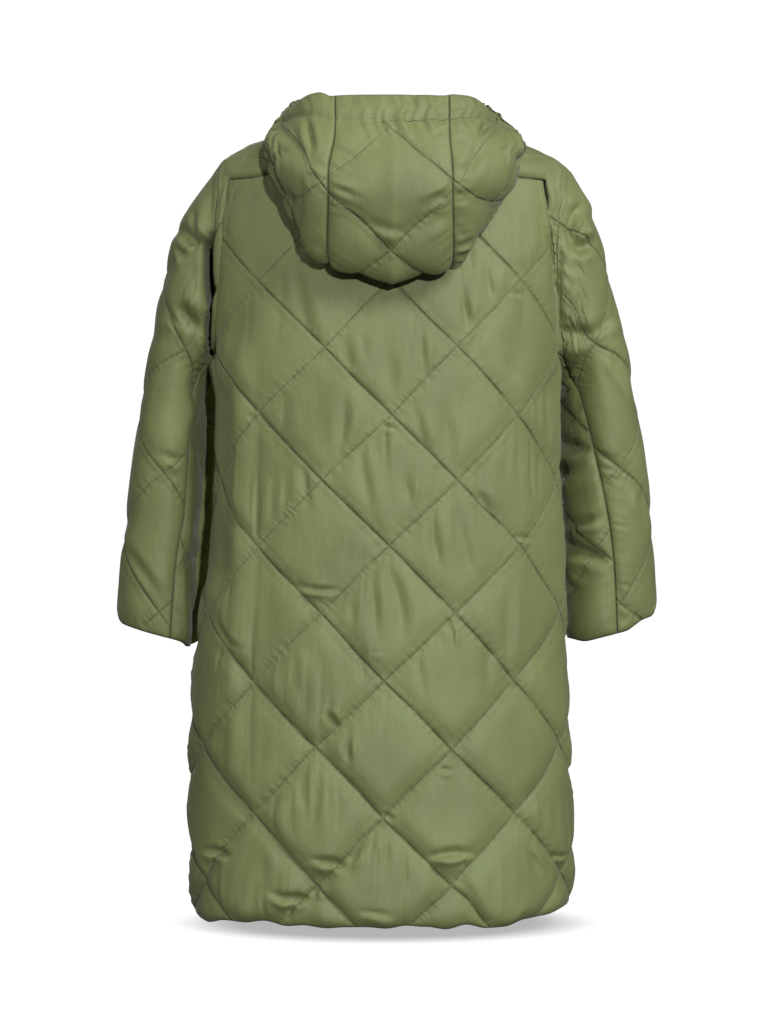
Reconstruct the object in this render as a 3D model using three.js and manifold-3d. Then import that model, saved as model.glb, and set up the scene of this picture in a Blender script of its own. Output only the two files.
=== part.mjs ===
// A long quilted parka with a hood, filled out as if worn, with nobody in it.
// Millimetres, +Z up, the front faces -Y and the wearer's left is +X. The origin is
// the centre of the neck at shoulder level, where the wearer's shoulders carry the coat.
// Every cloth piece is a wall of even thickness on a surface that is worked out from
// the sizes below; the wall thins to its stitched edge at seams and hems.

import * as THREE from 'three';
import Module from 'manifold-3d';

const wasm = await Module();
wasm.setup();

// ---- driving dimensions -------------------------------------------------------------

const WALL = 8; // quilted wall: shell, wadding and lining together
const EDGE = 2.6; // the same wall where a seam or a hem presses it flat
const FOLD_ROOM = 3; // how much further the edges stand back in a sharp fold
const MEETING = 0.8; // edge points this near each other are one point of a seam
const NEAR_SEAM = 0.6; // how much of the way back to full it is one facet from the seam
const GAP = 0.4; // free space between two pieces at a seam

const HEM_Z = -1025; // hem of the body
const UNDERARM_Z = -285; // bottom of the armhole
const SADDLE_Z = -48; // outer end of the saddle seams, the top of the armhole
const ARMHOLE_DEPTH = 66; // half depth of the armhole, front to back
const FRONT_EDGE_X = 7; // centre front edge, where the zip tape begins

const NECK_BACK_X = 75; // the back neckline ends here, at the saddle
const NECK_BACK_Z = 5; // neckline at centre back
const NECK_BACK_RISE = 7; // the back neckline climbs this much towards the saddle
const NECK_FRONT_X = 82; // the front neckline ends here, at the saddle
const NECK_FRONT_Z = -60; // neckline at centre front
const NECK_FRONT_RISE = 55; // and climbs this much towards the saddle

const RIDGE = { neckX: 95, armX: 224, neckZ: 28, armZ: -16, bow: 0.72 }; // shoulder line
const SHOULDER = { left: -5, right: 6 }; // the right shoulder is held squarer
const HOOD_LEAN = -8; // the hood has slid this far towards the wearer's right

// Outer sizes of the body at each height: half width, depth behind the centre, depth in
// front of it, and how square the ring is (2 is an ellipse).
const BODY = [
  { z: 20, half: 234, back: 74, front: 60, square: 2.8 },
  { z: -5, half: 235, back: 82, front: 74, square: 2.8 },
  { z: -48, half: 236, back: 96, front: 92, square: 2.8 },
  { z: -100, half: 238, back: 117, front: 114, square: 2.7 },
  { z: -160, half: 239, back: 133, front: 133, square: 2.6 },
  { z: -230, half: 238, back: 142, front: 144, square: 2.5 },
  { z: -300, half: 237, back: 146, front: 150, square: 2.4 },
  { z: -430, half: 238, back: 147, front: 152, square: 2.3 },
  { z: -500, half: 242, back: 147, front: 152, square: 2.3 },
  { z: -670, half: 247, back: 148, front: 152, square: 2.3 },
  { z: -800, half: 251, back: 149, front: 153, square: 2.3 },
  { z: -950, half: 254, back: 150, front: 154, square: 2.3 },
  { z: -1035, half: 252, back: 149, front: 153, square: 2.3 },
];

// Sleeve rings, fanned out about the underarm. `at` is the distance down the outer side,
// x, y, z the innermost point of the ring, `tilt` the direction from there to its outer
// point (0 is up, 90 is outwards), `reach` the distance between them, `depth` the half
// depth front to back and `turn` the angle that the ring is swung forwards.
const SLEEVE = [
  { at: 0, x: 236, y: 0, z: -285, tilt: 0, reach: 272, depth: 66, turn: 0 },
  { at: 42, x: 237, y: -3, z: -288, tilt: 3.8, reach: 242, depth: 66, turn: 0 },
  { at: 81, x: 237.5, y: -7, z: -290, tilt: 9.2, reach: 212, depth: 67, turn: 1 },
  { at: 124, x: 238, y: -12, z: -292, tilt: 16, reach: 178, depth: 69, turn: 2 },
  { at: 166, x: 238.5, y: -18, z: -294, tilt: 24.4, reach: 146, depth: 72, turn: 4 },
  { at: 208, x: 239, y: -26, z: -297, tilt: 37, reach: 118, depth: 76, turn: 6 },
  { at: 250, x: 239, y: -34, z: -301, tilt: 55, reach: 98, depth: 80, turn: 9 },
  { at: 291, x: 239, y: -42, z: -308, tilt: 74, reach: 92, depth: 84, turn: 12 },
  { at: 333, x: 239.5, y: -48, z: -332, tilt: 85, reach: 95, depth: 86, turn: 14 },
  { at: 415, x: 241, y: -54, z: -406, tilt: 90, reach: 107, depth: 85, turn: 15 },
  { at: 511, x: 244, y: -58, z: -504, tilt: 89, reach: 116, depth: 79, turn: 15 },
  { at: 601, x: 246, y: -62, z: -604, tilt: 84, reach: 121, depth: 72, turn: 15 },
  { at: 641, x: 248, y: -65, z: -662, tilt: 75, reach: 124, depth: 68, turn: 15 },
];
const SLEEVE_SQUARE = 2.2;
const ARM_BLEND = 124; // the armhole's own shape fades out over this much sleeve

// Corners of the sleeve at the armhole, as angles round the ring: 0 is the outer side,
// 90 the back, 180 the underarm, and negative angles are the front.
const SADDLE_ANGLE = 42;
const FRONT_SEAM = -150;
const BACK_SEAM_TOP = 160;

// Where the back seam of each sleeve runs, down the outer side.
const BACK_SEAM = {
  left: [
    { at: 0, angle: 160 },
    { at: 250, angle: 162 },
    { at: 333, angle: 156 },
    { at: 432, angle: 145 },
    { at: 487, angle: 135 },
    { at: 585, angle: 121 },
    { at: 641, angle: 116 },
  ],
  right: [
    { at: 0, angle: 160 },
    { at: 290, angle: 161 },
    { at: 340, angle: 144 },
    { at: 400, angle: 129 },
    { at: 487, angle: 111 },
    { at: 562, angle: 102 },
    { at: 641, angle: 98 },
  ],
};

// The hood hangs down the back as an open bag. `round` runs from centre back (0) to
// centre front (1) along the neckline, and `climb` from the neckline (0) to the rim (1).
const HOOD_SEAM = 0.2; // the seams between the centre panel and the sides
const NECK_BACK_END = 0.3;
const NECK_FRONT_START = 0.75;
const HOOD_RAILS = [
  // standing up from the neckline
  { climb: 0.08, points: [
    { round: 0, x: 0, y: 88, z: 26 },
    { round: 0.2, x: 52, y: 86, z: 28 },
    { round: 0.3, x: 80, y: 78, z: 31 },
    { round: 0.42, x: 96, y: 57, z: 37 },
    { round: 0.47, x: 100, y: 35, z: 37 },
    { round: 0.525, x: 100, y: 1, z: 33 },
    { round: 0.64, x: 94, y: -54, z: 25 },
    { round: 0.75, x: 87, y: -76, z: 8 },
    { round: 1, x: 7, y: -97, z: -46 },
  ] },
  // lying towards the back
  { climb: 0.3, points: [
    { round: 0, x: 0, y: 150, z: -90 },
    { round: 0.2, x: 62, y: 146, z: -84 },
    { round: 0.3, x: 98, y: 131, z: -58 },
    { round: 0.42, x: 128, y: 94, z: -4 },
    { round: 0.47, x: 112, y: 50, z: 38 },
    { round: 0.525, x: 105, y: 2, z: 40 },
    { round: 0.64, x: 98, y: -55, z: 33 },
    { round: 0.75, x: 90, y: -79, z: 15 },
    { round: 1, x: 7, y: -100, z: -34 },
  ] },
  // the fold at the bottom of the bag
  { climb: 0.52, points: [
    { round: 0, x: 0, y: 190, z: -187 },
    { round: 0.2, x: 73, y: 184, z: -165 },
    { round: 0.3, x: 121, y: 168, z: -120 },
    { round: 0.42, x: 157, y: 126, z: -40 },
    { round: 0.47, x: 132, y: 70, z: 26 },
    { round: 0.525, x: 107, y: 3, z: 46 },
    { round: 0.64, x: 99, y: -56, z: 40 },
    { round: 0.75, x: 91, y: -81, z: 24 },
    { round: 1, x: 7, y: -103, z: -16 },
  ] },
  // the outer layer
  { climb: 0.75, points: [
    { round: 0, x: 0, y: 224, z: -82 },
    { round: 0.2, x: 73, y: 217, z: -78 },
    { round: 0.3, x: 126, y: 192, z: -52 },
    { round: 0.42, x: 161, y: 128, z: -6 },
    { round: 0.47, x: 134, y: 66, z: 42 },
    { round: 0.525, x: 106, y: 4, z: 52 },
    { round: 0.64, x: 98, y: -56, z: 46 },
    { round: 0.75, x: 89, y: -81, z: 34 },
    { round: 1, x: 7, y: -105, z: 2 },
  ] },
  // the rim round the face
  { climb: 1, points: [
    { round: 0, x: 0, y: 168, z: 50 },
    { round: 0.2, x: 73, y: 161, z: 50 },
    { round: 0.3, x: 104, y: 141, z: 48 },
    { round: 0.42, x: 130, y: 84, z: 36 },
    { round: 0.47, x: 117, y: 44, z: 52 },
    { round: 0.525, x: 102, y: 5, z: 57 },
    { round: 0.64, x: 94, y: -54, z: 53 },
    { round: 0.75, x: 82, y: -76, z: 44 },
    { round: 1, x: 7, y: -103, z: 22 },
  ] },
];

const ZIP = {
  tapeWall: 1.2,
  tapeInnerX: 0.5, // the two tapes nearly meet under the teeth
  bottomZ: -1012,
  topZ: 16,
  slider: { width: 10, depth: 4, height: 13, z: 6 },
  ear: { width: 1.2, spread: 3.4, reach: 4.6, height: 3.6, rise: 3 }, // above the slider's middle
  pin: 0.9, // radius
  eye: { inner: 1.3, outer: 2.6, width: 4.2 },
  tab: { width: 7, wall: 1.6, length: 30 },
};

// How finely the cloth is faceted.
const ROWS = { side: 15, sleeve: 8, saddle: 4, tape: 12 };
const HOOD_ROWS = [0, 0.08, 0.18, 0.3, 0.39, 0.46, 0.52, 0.58, 0.66, 0.75, 0.875, 1];
const COLUMNS = { backNeck: 3, frontNeck: 3, saddleSeam: 4, saddle: 5, armhole: 5 };

const FINISH = {
  shell: { color: 0x7b8258, roughness: 0.5, metalness: 0 },
  tape: { color: 0x666d48, roughness: 0.8, metalness: 0 },
  metal: { color: 0x8a8f86, roughness: 0.35, metalness: 1 },
};

// ---- small helpers --------------------------------------------------------------------

const radians = (degrees) => (degrees * Math.PI) / 180;
const mix = (a, b, t) => a + (b - a) * t;
const point = (x, y, z) => new THREE.Vector3(x, y, z);
const signedPower = (value, power) => Math.sign(value) * Math.abs(value) ** power;
const steps = (from, to, count) => Array.from({ length: count + 1 }, (_, i) => mix(from, to, i / count));

// A smooth curve through the rows of a table, read at one value of its first column.
function readTable(rows, key, value) {
  const rising = rows[0][key] < rows[rows.length - 1][key] ? rows : [...rows].reverse();
  const at = Math.min(Math.max(value, rising[0][key]), rising[rising.length - 1][key]);
  const i = Math.min(rising.findIndex((row, k) => k > 0 && at <= row[key]), rising.length - 1) - 1;
  const [p, q] = [rising[i], rising[i + 1]];
  const before = rising[i - 1] ?? p;
  const after = rising[i + 2] ?? q;
  const span = q[key] - p[key];
  const t = (at - p[key]) / span;
  const out = { [key]: at };
  for (const column of Object.keys(p)) {
    if (column === key) continue;
    const slopeP = ((q[column] - before[column]) / (q[key] - before[key])) * span;
    const slopeQ = ((after[column] - p[column]) / (after[key] - p[key])) * span;
    out[column] =
      (2 * t ** 3 - 3 * t ** 2 + 1) * p[column] +
      (t ** 3 - 2 * t ** 2 + t) * slopeP +
      (-2 * t ** 3 + 3 * t ** 2) * q[column] +
      (t ** 3 - t ** 2) * slopeQ;
  }
  return out;
}

// ---- the body's surface ------------------------------------------------------------------
// The middle of the wall, half a wall inside the outer sizes. `face` is 'back' or 'front'.

function bodyRing(face, z) {
  const row = readTable(BODY, 'z', z);
  return { half: row.half - WALL / 2, depth: row[face] - WALL / 2, square: row.square };
}

function depthAt(face, x, z) {
  const { half, depth, square } = bodyRing(face, z);
  const rest = Math.max(0, 1 - (Math.abs(x) / half) ** square);
  return depth * rest ** (1 / square);
}

function widthAt(face, y, z) {
  const { half, depth, square } = bodyRing(face, z);
  const rest = Math.max(0, 1 - (Math.abs(y) / depth) ** square);
  return half * rest ** (1 / square);
}

// One quarter of a ring as a fine polyline with its running length, from the centre line.
function quarterRing(face, z) {
  const { half, depth, square } = bodyRing(face, z);
  const line = [{ x: 0, y: depth, run: 0 }];
  for (const angle of steps(0, 90, 96).slice(1)) {
    const x = half * Math.sin(radians(angle)) ** (2 / square);
    const y = depth * Math.max(0, Math.cos(radians(angle))) ** (2 / square);
    const last = line[line.length - 1];
    line.push({ x, y, run: last.run + Math.hypot(x - last.x, y - last.y) });
  }
  return line;
}

// The share of the quarter ring that lies between the centre line and half width x.
function shareAt(face, x, z) {
  const line = quarterRing(face, z);
  const i = Math.max(1, line.findIndex((p) => p.x >= x));
  const t = (x - line[i - 1].x) / (line[i].x - line[i - 1].x);
  return mix(line[i - 1].run, line[i].run, t) / line[line.length - 1].run;
}

function bodyPoint(face, share, z) {
  const line = quarterRing(face, z);
  const run = Math.min(share, 1) * line[line.length - 1].run;
  const i = Math.max(1, line.findIndex((p) => p.run >= run - 1e-9));
  const t = (run - line[i - 1].run) / (line[i].run - line[i - 1].run);
  const y = mix(line[i - 1].y, line[i].y, t);
  return point(mix(line[i - 1].x, line[i].x, t), face === 'back' ? y : -y, z);
}

// ---- armhole, saddle and neckline, for the wearer's left side ---------------------------

const ARMHOLE_MID_Z = UNDERARM_Z + (SADDLE_Z - UNDERARM_Z) / (1 + Math.cos(radians(SADDLE_ANGLE)));
const armholeZ = (angle) => ARMHOLE_MID_Z + (ARMHOLE_MID_Z - UNDERARM_Z) * Math.cos(radians(angle));

// A point of the armhole seam, on the body, at an angle beyond the saddle's.
function armholePoint(angle) {
  const face = angle > 0 ? 'back' : 'front';
  const z = armholeZ(angle);
  const lean = Math.abs(Math.sin(radians(angle)));
  const y = lean < 1e-6 ? 0 : ARMHOLE_DEPTH * lean ** 0.35;
  return point(widthAt(face, y, z), face === 'back' ? y : -y, z);
}

// The saddle seams, from the armhole (0) to the neckline (1).
function saddleSeam(face, along) {
  const armX = armholePoint(face === 'back' ? SADDLE_ANGLE : -SADDLE_ANGLE).x;
  const neckX = face === 'back' ? NECK_BACK_X : NECK_FRONT_X;
  const neckZ = face === 'back' ? NECK_BACK_Z + NECK_BACK_RISE : NECK_FRONT_Z + NECK_FRONT_RISE;
  const x = mix(armX, neckX, along);
  const z = mix(SADDLE_Z, neckZ, along ** (face === 'back' ? 3 : 2.5));
  const y = depthAt(face, x, z);
  return point(x, face === 'back' ? y : -y, z);
}

// The saddle arches over the shoulder between its two seams.
function saddlePoint(side, angle, along) {
  const seam = saddleSeam(angle >= 0 ? 'back' : 'front', along);
  const swing = radians((Math.abs(angle) / SADDLE_ANGLE) * 90);
  const ridgeX = mix(RIDGE.armX, RIDGE.neckX, along) + SHOULDER[side] * (1 - along);
  const ridgeZ = mix(RIDGE.armZ, RIDGE.neckZ, along ** RIDGE.bow) - WALL / 2;
  return point(
    mix(ridgeX, seam.x, Math.sin(swing) ** 2),
    seam.y * Math.sin(swing) ** (2 / 2.4),
    mix(seam.z, ridgeZ, Math.max(0, Math.cos(swing)) ** (2 / 2.4)),
  );
}

function neckPoint(side, round) {
  if (round <= NECK_BACK_END) {
    const x = (round / NECK_BACK_END) * NECK_BACK_X;
    const z = NECK_BACK_Z + NECK_BACK_RISE * (x / NECK_BACK_X) ** 2;
    return point(x, depthAt('back', x, z), z);
  }
  if (round < NECK_FRONT_START) {
    const t = (round - NECK_BACK_END) / (NECK_FRONT_START - NECK_BACK_END);
    return saddlePoint(side, mix(SADDLE_ANGLE, -SADDLE_ANGLE, t), 1);
  }
  const t = (round - NECK_FRONT_START) / (1 - NECK_FRONT_START);
  const x = mix(NECK_FRONT_X, FRONT_EDGE_X, t);
  const z = NECK_FRONT_Z + NECK_FRONT_RISE * (1 - t) ** 1.7;
  return point(x, -depthAt('front', x, z), z);
}

// ---- sleeve -----------------------------------------------------------------------------

function sleeveRing(side, angle, at) {
  const row = readTable(SLEEVE, 'at', at);
  const lift = SHOULDER[side] * Math.max(0, 1 - at / SLEEVE[5].at);
  const [tilt, turn] = [radians(row.tilt), radians(row.turn)];
  const outwards = point(Math.sin(tilt), 0, Math.cos(tilt));
  const backwards = point(0, 1, 0);
  const long = outwards.clone().multiplyScalar(Math.cos(turn)).addScaledVector(backwards, -Math.sin(turn));
  const wide = backwards.clone().multiplyScalar(Math.cos(turn)).addScaledVector(outwards, Math.sin(turn));
  const half = (row.reach + lift) / 2;
  const centre = point(row.x, row.y, row.z).addScaledVector(outwards, half);
  const round = radians(angle);
  return centre
    .addScaledVector(long, (half - WALL / 2) * signedPower(Math.cos(round), 2 / SLEEVE_SQUARE))
    .addScaledVector(wide, (row.depth - WALL / 2) * signedPower(Math.sin(round), 2 / SLEEVE_SQUARE));
}

// `label` is the angle that a column has at the armhole; further down it turns with the seams.
function sleevePoint(side, label, at) {
  const seam = readTable(BACK_SEAM[side], 'at', at).angle;
  const under = (label - BACK_SEAM_TOP) / (360 + FRONT_SEAM - BACK_SEAM_TOP);
  const upper = label > 0 ? (label * seam) / BACK_SEAM_TOP : label;
  const angle = label > BACK_SEAM_TOP ? mix(seam, 360 + FRONT_SEAM, under) : upper;
  const ring = sleeveRing(side, angle, at);
  if (at >= ARM_BLEND) return ring;
  const wrapped = label > 180 ? label - 360 : label;
  const onSaddle = Math.abs(wrapped) <= SADDLE_ANGLE;
  const start = onSaddle ? saddlePoint(side, wrapped, 0) : armholePoint(wrapped);
  const own = start.sub(sleeveRing(side, label, 0));
  const t = at / ARM_BLEND;
  return ring.addScaledVector(own, (1 - t) ** 2 * (1 + 0.6 * t));
}

// ---- hood ---------------------------------------------------------------------------------

// `climb` runs from the neckline (0) to the rim (1).
function hoodPoint(side, round, climb) {
  const neck = neckPoint(side, round);
  const stations = [{ climb: 0, x: neck.x, y: neck.y, z: neck.z }];
  for (const rail of HOOD_RAILS) {
    const { x, y, z } = readTable(rail.points, 'round', round);
    stations.push({ climb: rail.climb, x, y, z });
  }
  const { x, y, z } = readTable(stations, 'climb', climb);
  return point(x, y, z);
}

// How far the hood has slid sideways at a point: nothing at the neckline and the front.
function hoodSlide(round, climb) {
  const back = Math.min(1, Math.max(0, (NECK_FRONT_START - round) / (NECK_FRONT_START - HOOD_SEAM)));
  return HOOD_LEAN * back * Math.min(1, climb * 2.5);
}

// ---- cloth pieces as grids of points ---------------------------------------------------

// rows x columns of points, with a quad for each cell that `keep` allows.
function clothGrid(name, rows, columns, place, keep = () => true) {
  const points = [];
  const index = new Map();
  const vertex = (r, c) => {
    const key = `${r},${c}`;
    if (!index.has(key)) index.set(key, points.push(place(rows[r], columns[c])) - 1);
    return index.get(key);
  };
  const quads = [];
  for (let r = 0; r + 1 < rows.length; r += 1) {
    for (let c = 0; c + 1 < columns.length; c += 1) {
      if (!keep(r, c)) continue;
      quads.push([vertex(r, c), vertex(r, c + 1), vertex(r + 1, c + 1), vertex(r + 1, c)]);
    }
  }
  return { name, points, quads };
}

const mirrored = (side, p) => (side === 'left' ? p : point(-p.x, p.y, p.z));

const BACK_ANGLES = [...steps(SADDLE_ANGLE, BACK_SEAM_TOP, COLUMNS.armhole), 180];
const FRONT_ANGLES = [...steps(-SADDLE_ANGLE, FRONT_SEAM, COLUMNS.armhole), -165, -180];

// The tops of a body panel's columns, from the centre line to the armhole.
function panelTops(face) {
  const neck =
    face === 'back'
      ? steps(0, NECK_BACK_END, COLUMNS.backNeck)
      : steps(1, NECK_FRONT_START, COLUMNS.frontNeck);
  const tops = neck.map((round) => neckPoint('left', round));
  for (const along of steps(1, 0, COLUMNS.saddleSeam).slice(1)) tops.push(saddleSeam(face, along));
  return tops;
}

// Columns keep their share of the ring all the way down; rows level out at the underarm.
function bodyPanelPoint(face, top, edgeZ) {
  const armX = armholePoint(face === 'back' ? SADDLE_ANGLE : -SADDLE_ANGLE).x;
  const startX = face === 'back' ? 0 : FRONT_EDGE_X;
  const share = (x, z) => shareAt(face, x, z);
  const topShare =
    (share(top.x, top.z) - share(startX, top.z)) / (share(armX, top.z) - share(startX, top.z));
  const z = edgeZ + (top.z - SADDLE_Z) * Math.max(0, (edgeZ - UNDERARM_Z) / (SADDLE_Z - UNDERARM_Z));
  let edgeShare = 1;
  if (z > UNDERARM_Z + 1e-6) {
    const cos = Math.min(1, (z - ARMHOLE_MID_Z) / (ARMHOLE_MID_Z - UNDERARM_Z));
    const angle = Math.max(SADDLE_ANGLE, (Math.acos(cos) * 180) / Math.PI);
    const y = ARMHOLE_DEPTH * Math.sin(radians(angle)) ** 0.35;
    edgeShare = z > SADDLE_Z ? share(armX, z) : share(widthAt(face, y, z), z);
  }
  return bodyPoint(face, mix(share(startX, z), edgeShare, topShare), z);
}

function bodyRows(face) {
  const angles = face === 'back' ? BACK_ANGLES : FRONT_ANGLES;
  return [...angles.map(armholeZ), ...steps(UNDERARM_Z, HEM_Z, ROWS.side).slice(1)];
}

function backPanel() {
  const tops = panelTops('back');
  const left = tops.map((top) => ({ side: 'left', top }));
  const right = tops.slice(1).map((top) => ({ side: 'right', top }));
  const columns = [...left.reverse(), ...right];
  return clothGrid('back', bodyRows('back'), columns, (z, column) =>
    mirrored(column.side, bodyPanelPoint('back', column.top, z)),
  );
}

function frontPanel(side) {
  return clothGrid(`front_${side}`, bodyRows('front'), panelTops('front'), (z, top) =>
    mirrored(side, bodyPanelPoint('front', top, z)),
  );
}

const SLEEVE_ROWS = [0, 84, 140, 195, 248, ...steps(291, 641, ROWS.sleeve)];

function upperSleeve(side) {
  const saddle = steps(1, 0, ROWS.saddle).slice(0, -1).map((along) => ({ along }));
  const rows = [...saddle, ...SLEEVE_ROWS.map((at) => ({ at }))];
  const front = steps(FRONT_SEAM, -SADDLE_ANGLE, COLUMNS.armhole);
  const middle = steps(-SADDLE_ANGLE, SADDLE_ANGLE, COLUMNS.saddle).slice(1);
  const back = steps(SADDLE_ANGLE, BACK_SEAM_TOP, COLUMNS.armhole).slice(1);
  const place = ({ along, at }, label) =>
    mirrored(side, at === undefined ? saddlePoint(side, label, along) : sleevePoint(side, label, at));
  const first = COLUMNS.armhole;
  const keep = (r, c) => r >= ROWS.saddle || (c >= first && c < first + COLUMNS.saddle);
  return clothGrid(`sleeve_${side}_upper`, rows, [...front, ...middle, ...back], place, keep);
}

function underSleeve(side) {
  const labels = [BACK_SEAM_TOP, 180, 195, 360 + FRONT_SEAM];
  return clothGrid(`sleeve_${side}_under`, SLEEVE_ROWS, labels, (at, label) =>
    mirrored(side, sleevePoint(side, label, at)),
  );
}

function placeHood(side, round, climb) {
  const p = mirrored(side, hoodPoint(side, round, climb));
  p.x += hoodSlide(round, climb);
  return p;
}

function hoodCenter() {
  const seamColumns = steps(0, HOOD_SEAM, 2);
  const columns = [
    ...seamColumns.map((round) => ({ side: 'left', round })).reverse(),
    ...seamColumns.slice(1).map((round) => ({ side: 'right', round })),
  ];
  return clothGrid('hood_center', HOOD_ROWS, columns, (climb, column) =>
    placeHood(column.side, column.round, climb),
  );
}

function hoodSide(side) {
  const columns = [
    HOOD_SEAM,
    ...steps(NECK_BACK_END, NECK_FRONT_START, COLUMNS.saddle),
    ...steps(NECK_FRONT_START, 1, COLUMNS.frontNeck).slice(1),
  ];
  return clothGrid(`hood_side_${side}`, HOOD_ROWS, columns, (climb, round) =>
    placeHood(side, round, climb),
  );
}

// Centre front line of the coat, from the hem up the hood's front edge.
function frontLineY(z) {
  if (z <= NECK_FRONT_Z) return -depthAt('front', FRONT_EDGE_X, z);
  const line = [{ z: NECK_FRONT_Z, y: -depthAt('front', FRONT_EDGE_X, NECK_FRONT_Z) }];
  for (const rail of HOOD_RAILS) {
    const edge = rail.points[rail.points.length - 1];
    line.push({ z: edge.z, y: edge.y });
  }
  return readTable(line, 'z', z).y;
}

function zipTape(side) {
  const rows = [...steps(ZIP.bottomZ, NECK_FRONT_Z, ROWS.tape), -40, -20, -2, ZIP.topZ];
  const columns = [ZIP.tapeInnerX, FRONT_EDGE_X - GAP / 2];
  const place = (z, x) => mirrored(side, point(x, frontLineY(z), z));
  const tape = clothGrid(`zip_tape_${side}`, rows, columns, place);
  tape.wall = ZIP.tapeWall;
  return tape;
}

// ---- from grids to closed walls ------------------------------------------------------------

// The same text for two points at the same place; `|| 0` turns a negative zero into zero.
const placeKey = (p) => p.toArray().map((value) => Math.round(value * 100) || 0).join();

function quadNormals(piece) {
  const normals = piece.points.map(() => new THREE.Vector3());
  for (const quad of piece.quads) {
    const [a, b, c, d] = quad.map((i) => piece.points[i]);
    const normal = new THREE.Vector3().crossVectors(c.clone().sub(a), d.clone().sub(b));
    for (const i of quad) normals[i].add(normal);
  }
  return normals.map((normal) => normal.normalize());
}

function boundaryEdges(piece) {
  const edges = new Map();
  for (const quad of piece.quads) {
    for (let k = 0; k < 4; k += 1) {
      const [a, b] = [quad[k], quad[(k + 1) % 4]];
      if (edges.has(`${b},${a}`)) edges.delete(`${b},${a}`);
      else edges.set(`${a},${b}`, [a, b]);
    }
  }
  return [...edges.values()];
}

// For each point of a piece's edge, the way into its cloth, square to the edge.
function waysIn(piece) {
  const ways = piece.points.map(() => new THREE.Vector3());
  for (const [a, b] of piece.rim) {
    const along = piece.points[b].clone().sub(piece.points[a]).normalize();
    for (const i of [a, b]) {
      ways[i].add(new THREE.Vector3().crossVectors(piece.normals[i], along).normalize());
    }
  }
  return ways.map((way) => way.normalize());
}

// Where pieces meet at a seam, their edges are mitred: both take the line that halves the
// angle between them, which is the common normal where the cloth runs straight on.
function mitreSeams(pieces) {
  const meetings = [];
  for (const piece of pieces) {
    piece.normals = quadNormals(piece);
    piece.rim = boundaryEdges(piece);
    piece.ways = waysIn(piece);
    piece.stretch = piece.points.map(() => 1);
    piece.back = piece.points.map(() => GAP / 2);
    for (const i of new Set(piece.rim.flat())) {
      const place = piece.points[i];
      let group = meetings.find((other) => other.place.distanceTo(place) < MEETING);
      if (!group) meetings.push((group = { place, members: [] }));
      place.copy(group.place);
      group.members.push({ piece, i, normal: piece.normals[i].clone(), way: piece.ways[i].clone() });
    }
  }
  for (const { members: group } of meetings) {
    if (group.length < 2) continue;
    const [one, two] = group;
    const across = one.way.clone().sub(two.way).normalize();
    const mitre = one.normal.clone().addScaledVector(across, -one.normal.dot(across));
    if (mitre.length() < 0.2) mitre.copy(one.way).add(two.way);
    mitre.normalize();
    for (const { piece, i, normal, way } of group) {
      const lean = normal.dot(mitre);
      piece.normals[i] = mitre.clone().multiplyScalar(lean < 0 ? -1 : 1);
      piece.stretch[i] = group.length > 2 ? 0.6 : 1 / Math.max(Math.abs(lean), 0.4);
      const others = group.filter((other) => other.piece !== piece);
      const fold = Math.max(0, ...others.map((other) => (1 + other.way.dot(way)) / 2));
      piece.back[i] += group.length > 2 ? FOLD_ROOM : FOLD_ROOM * fold;
    }
  }
}

// Two skins, half a wall each side of the grid, closed along the piece's edge.
function closedWall(piece) {
  const wall = piece.wall ?? WALL;
  const edgeWall = piece.wall ?? EDGE;
  const onRim = new Set(piece.rim.flat());
  const byRim = new Set(piece.quads.filter((quad) => quad.some((i) => onRim.has(i))).flat());
  const count = piece.points.length;
  const corners = [];
  for (const lift of [0.5, -0.5]) {
    piece.points.forEach((p, i) => {
      const inside = byRim.has(i) ? mix(edgeWall, wall, NEAR_SEAM) : wall;
      const thick = onRim.has(i) ? edgeWall * piece.stretch[i] : inside;
      const corner = p.clone().addScaledVector(piece.normals[i], lift * thick);
      if (onRim.has(i)) corner.addScaledVector(piece.ways[i], piece.back[i]);
      corners.push(corner);
    });
  }
  const faces = [];
  const addQuad = (a, b, c, d) => faces.push(a, b, c, a, c, d);
  for (const [a, b, c, d] of piece.quads) {
    addQuad(a, b, c, d);
    faces.push(count + a, count + c, count + b, count + a, count + d, count + c);
  }
  for (const [a, b] of piece.rim) addQuad(b, a, count + a, count + b);
  return facingOut(corners, faces);
}

function facingOut(corners, faces) {
  let volume = 0;
  for (let k = 0; k < faces.length; k += 3) {
    const [a, b, c] = [corners[faces[k]], corners[faces[k + 1]], corners[faces[k + 2]]];
    volume += a.dot(b.clone().cross(c));
  }
  if (volume < 0) {
    for (let k = 0; k < faces.length; k += 3) [faces[k + 1], faces[k + 2]] = [faces[k + 2], faces[k + 1]];
  }
  const geometry = new THREE.BufferGeometry();
  const numbers = corners.flatMap((p) => [p.x, p.y, p.z]);
  geometry.setAttribute('position', new THREE.Float32BufferAttribute(numbers, 3));
  geometry.setIndex(faces);
  geometry.computeVertexNormals();
  return geometry;
}

// ---- hard pieces of the zip ------------------------------------------------------------------

function solidOf(geometry) {
  const merged = new Map();
  const place = geometry.getAttribute('position');
  const vertProperties = [];
  const slot = [];
  for (let i = 0; i < place.count; i += 1) {
    const p = point(place.getX(i), place.getY(i), place.getZ(i));
    const key = placeKey(p);
    if (!merged.has(key)) {
      merged.set(key, merged.size);
      vertProperties.push(p.x, p.y, p.z);
    }
    slot.push(merged.get(key));
  }
  const order = geometry.index ? [...geometry.index.array] : slot.map((_, i) => i);
  const triangles = [];
  for (let k = 0; k < order.length; k += 3) {
    const [a, b, c] = [slot[order[k]], slot[order[k + 1]], slot[order[k + 2]]];
    if (a !== b && b !== c && c !== a) triangles.push(a, b, c);
  }
  const mesh = new wasm.Mesh({
    numProp: 3,
    vertProperties: new Float32Array(vertProperties),
    triVerts: new Uint32Array(triangles),
  });
  return new wasm.Manifold(mesh);
}

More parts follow.
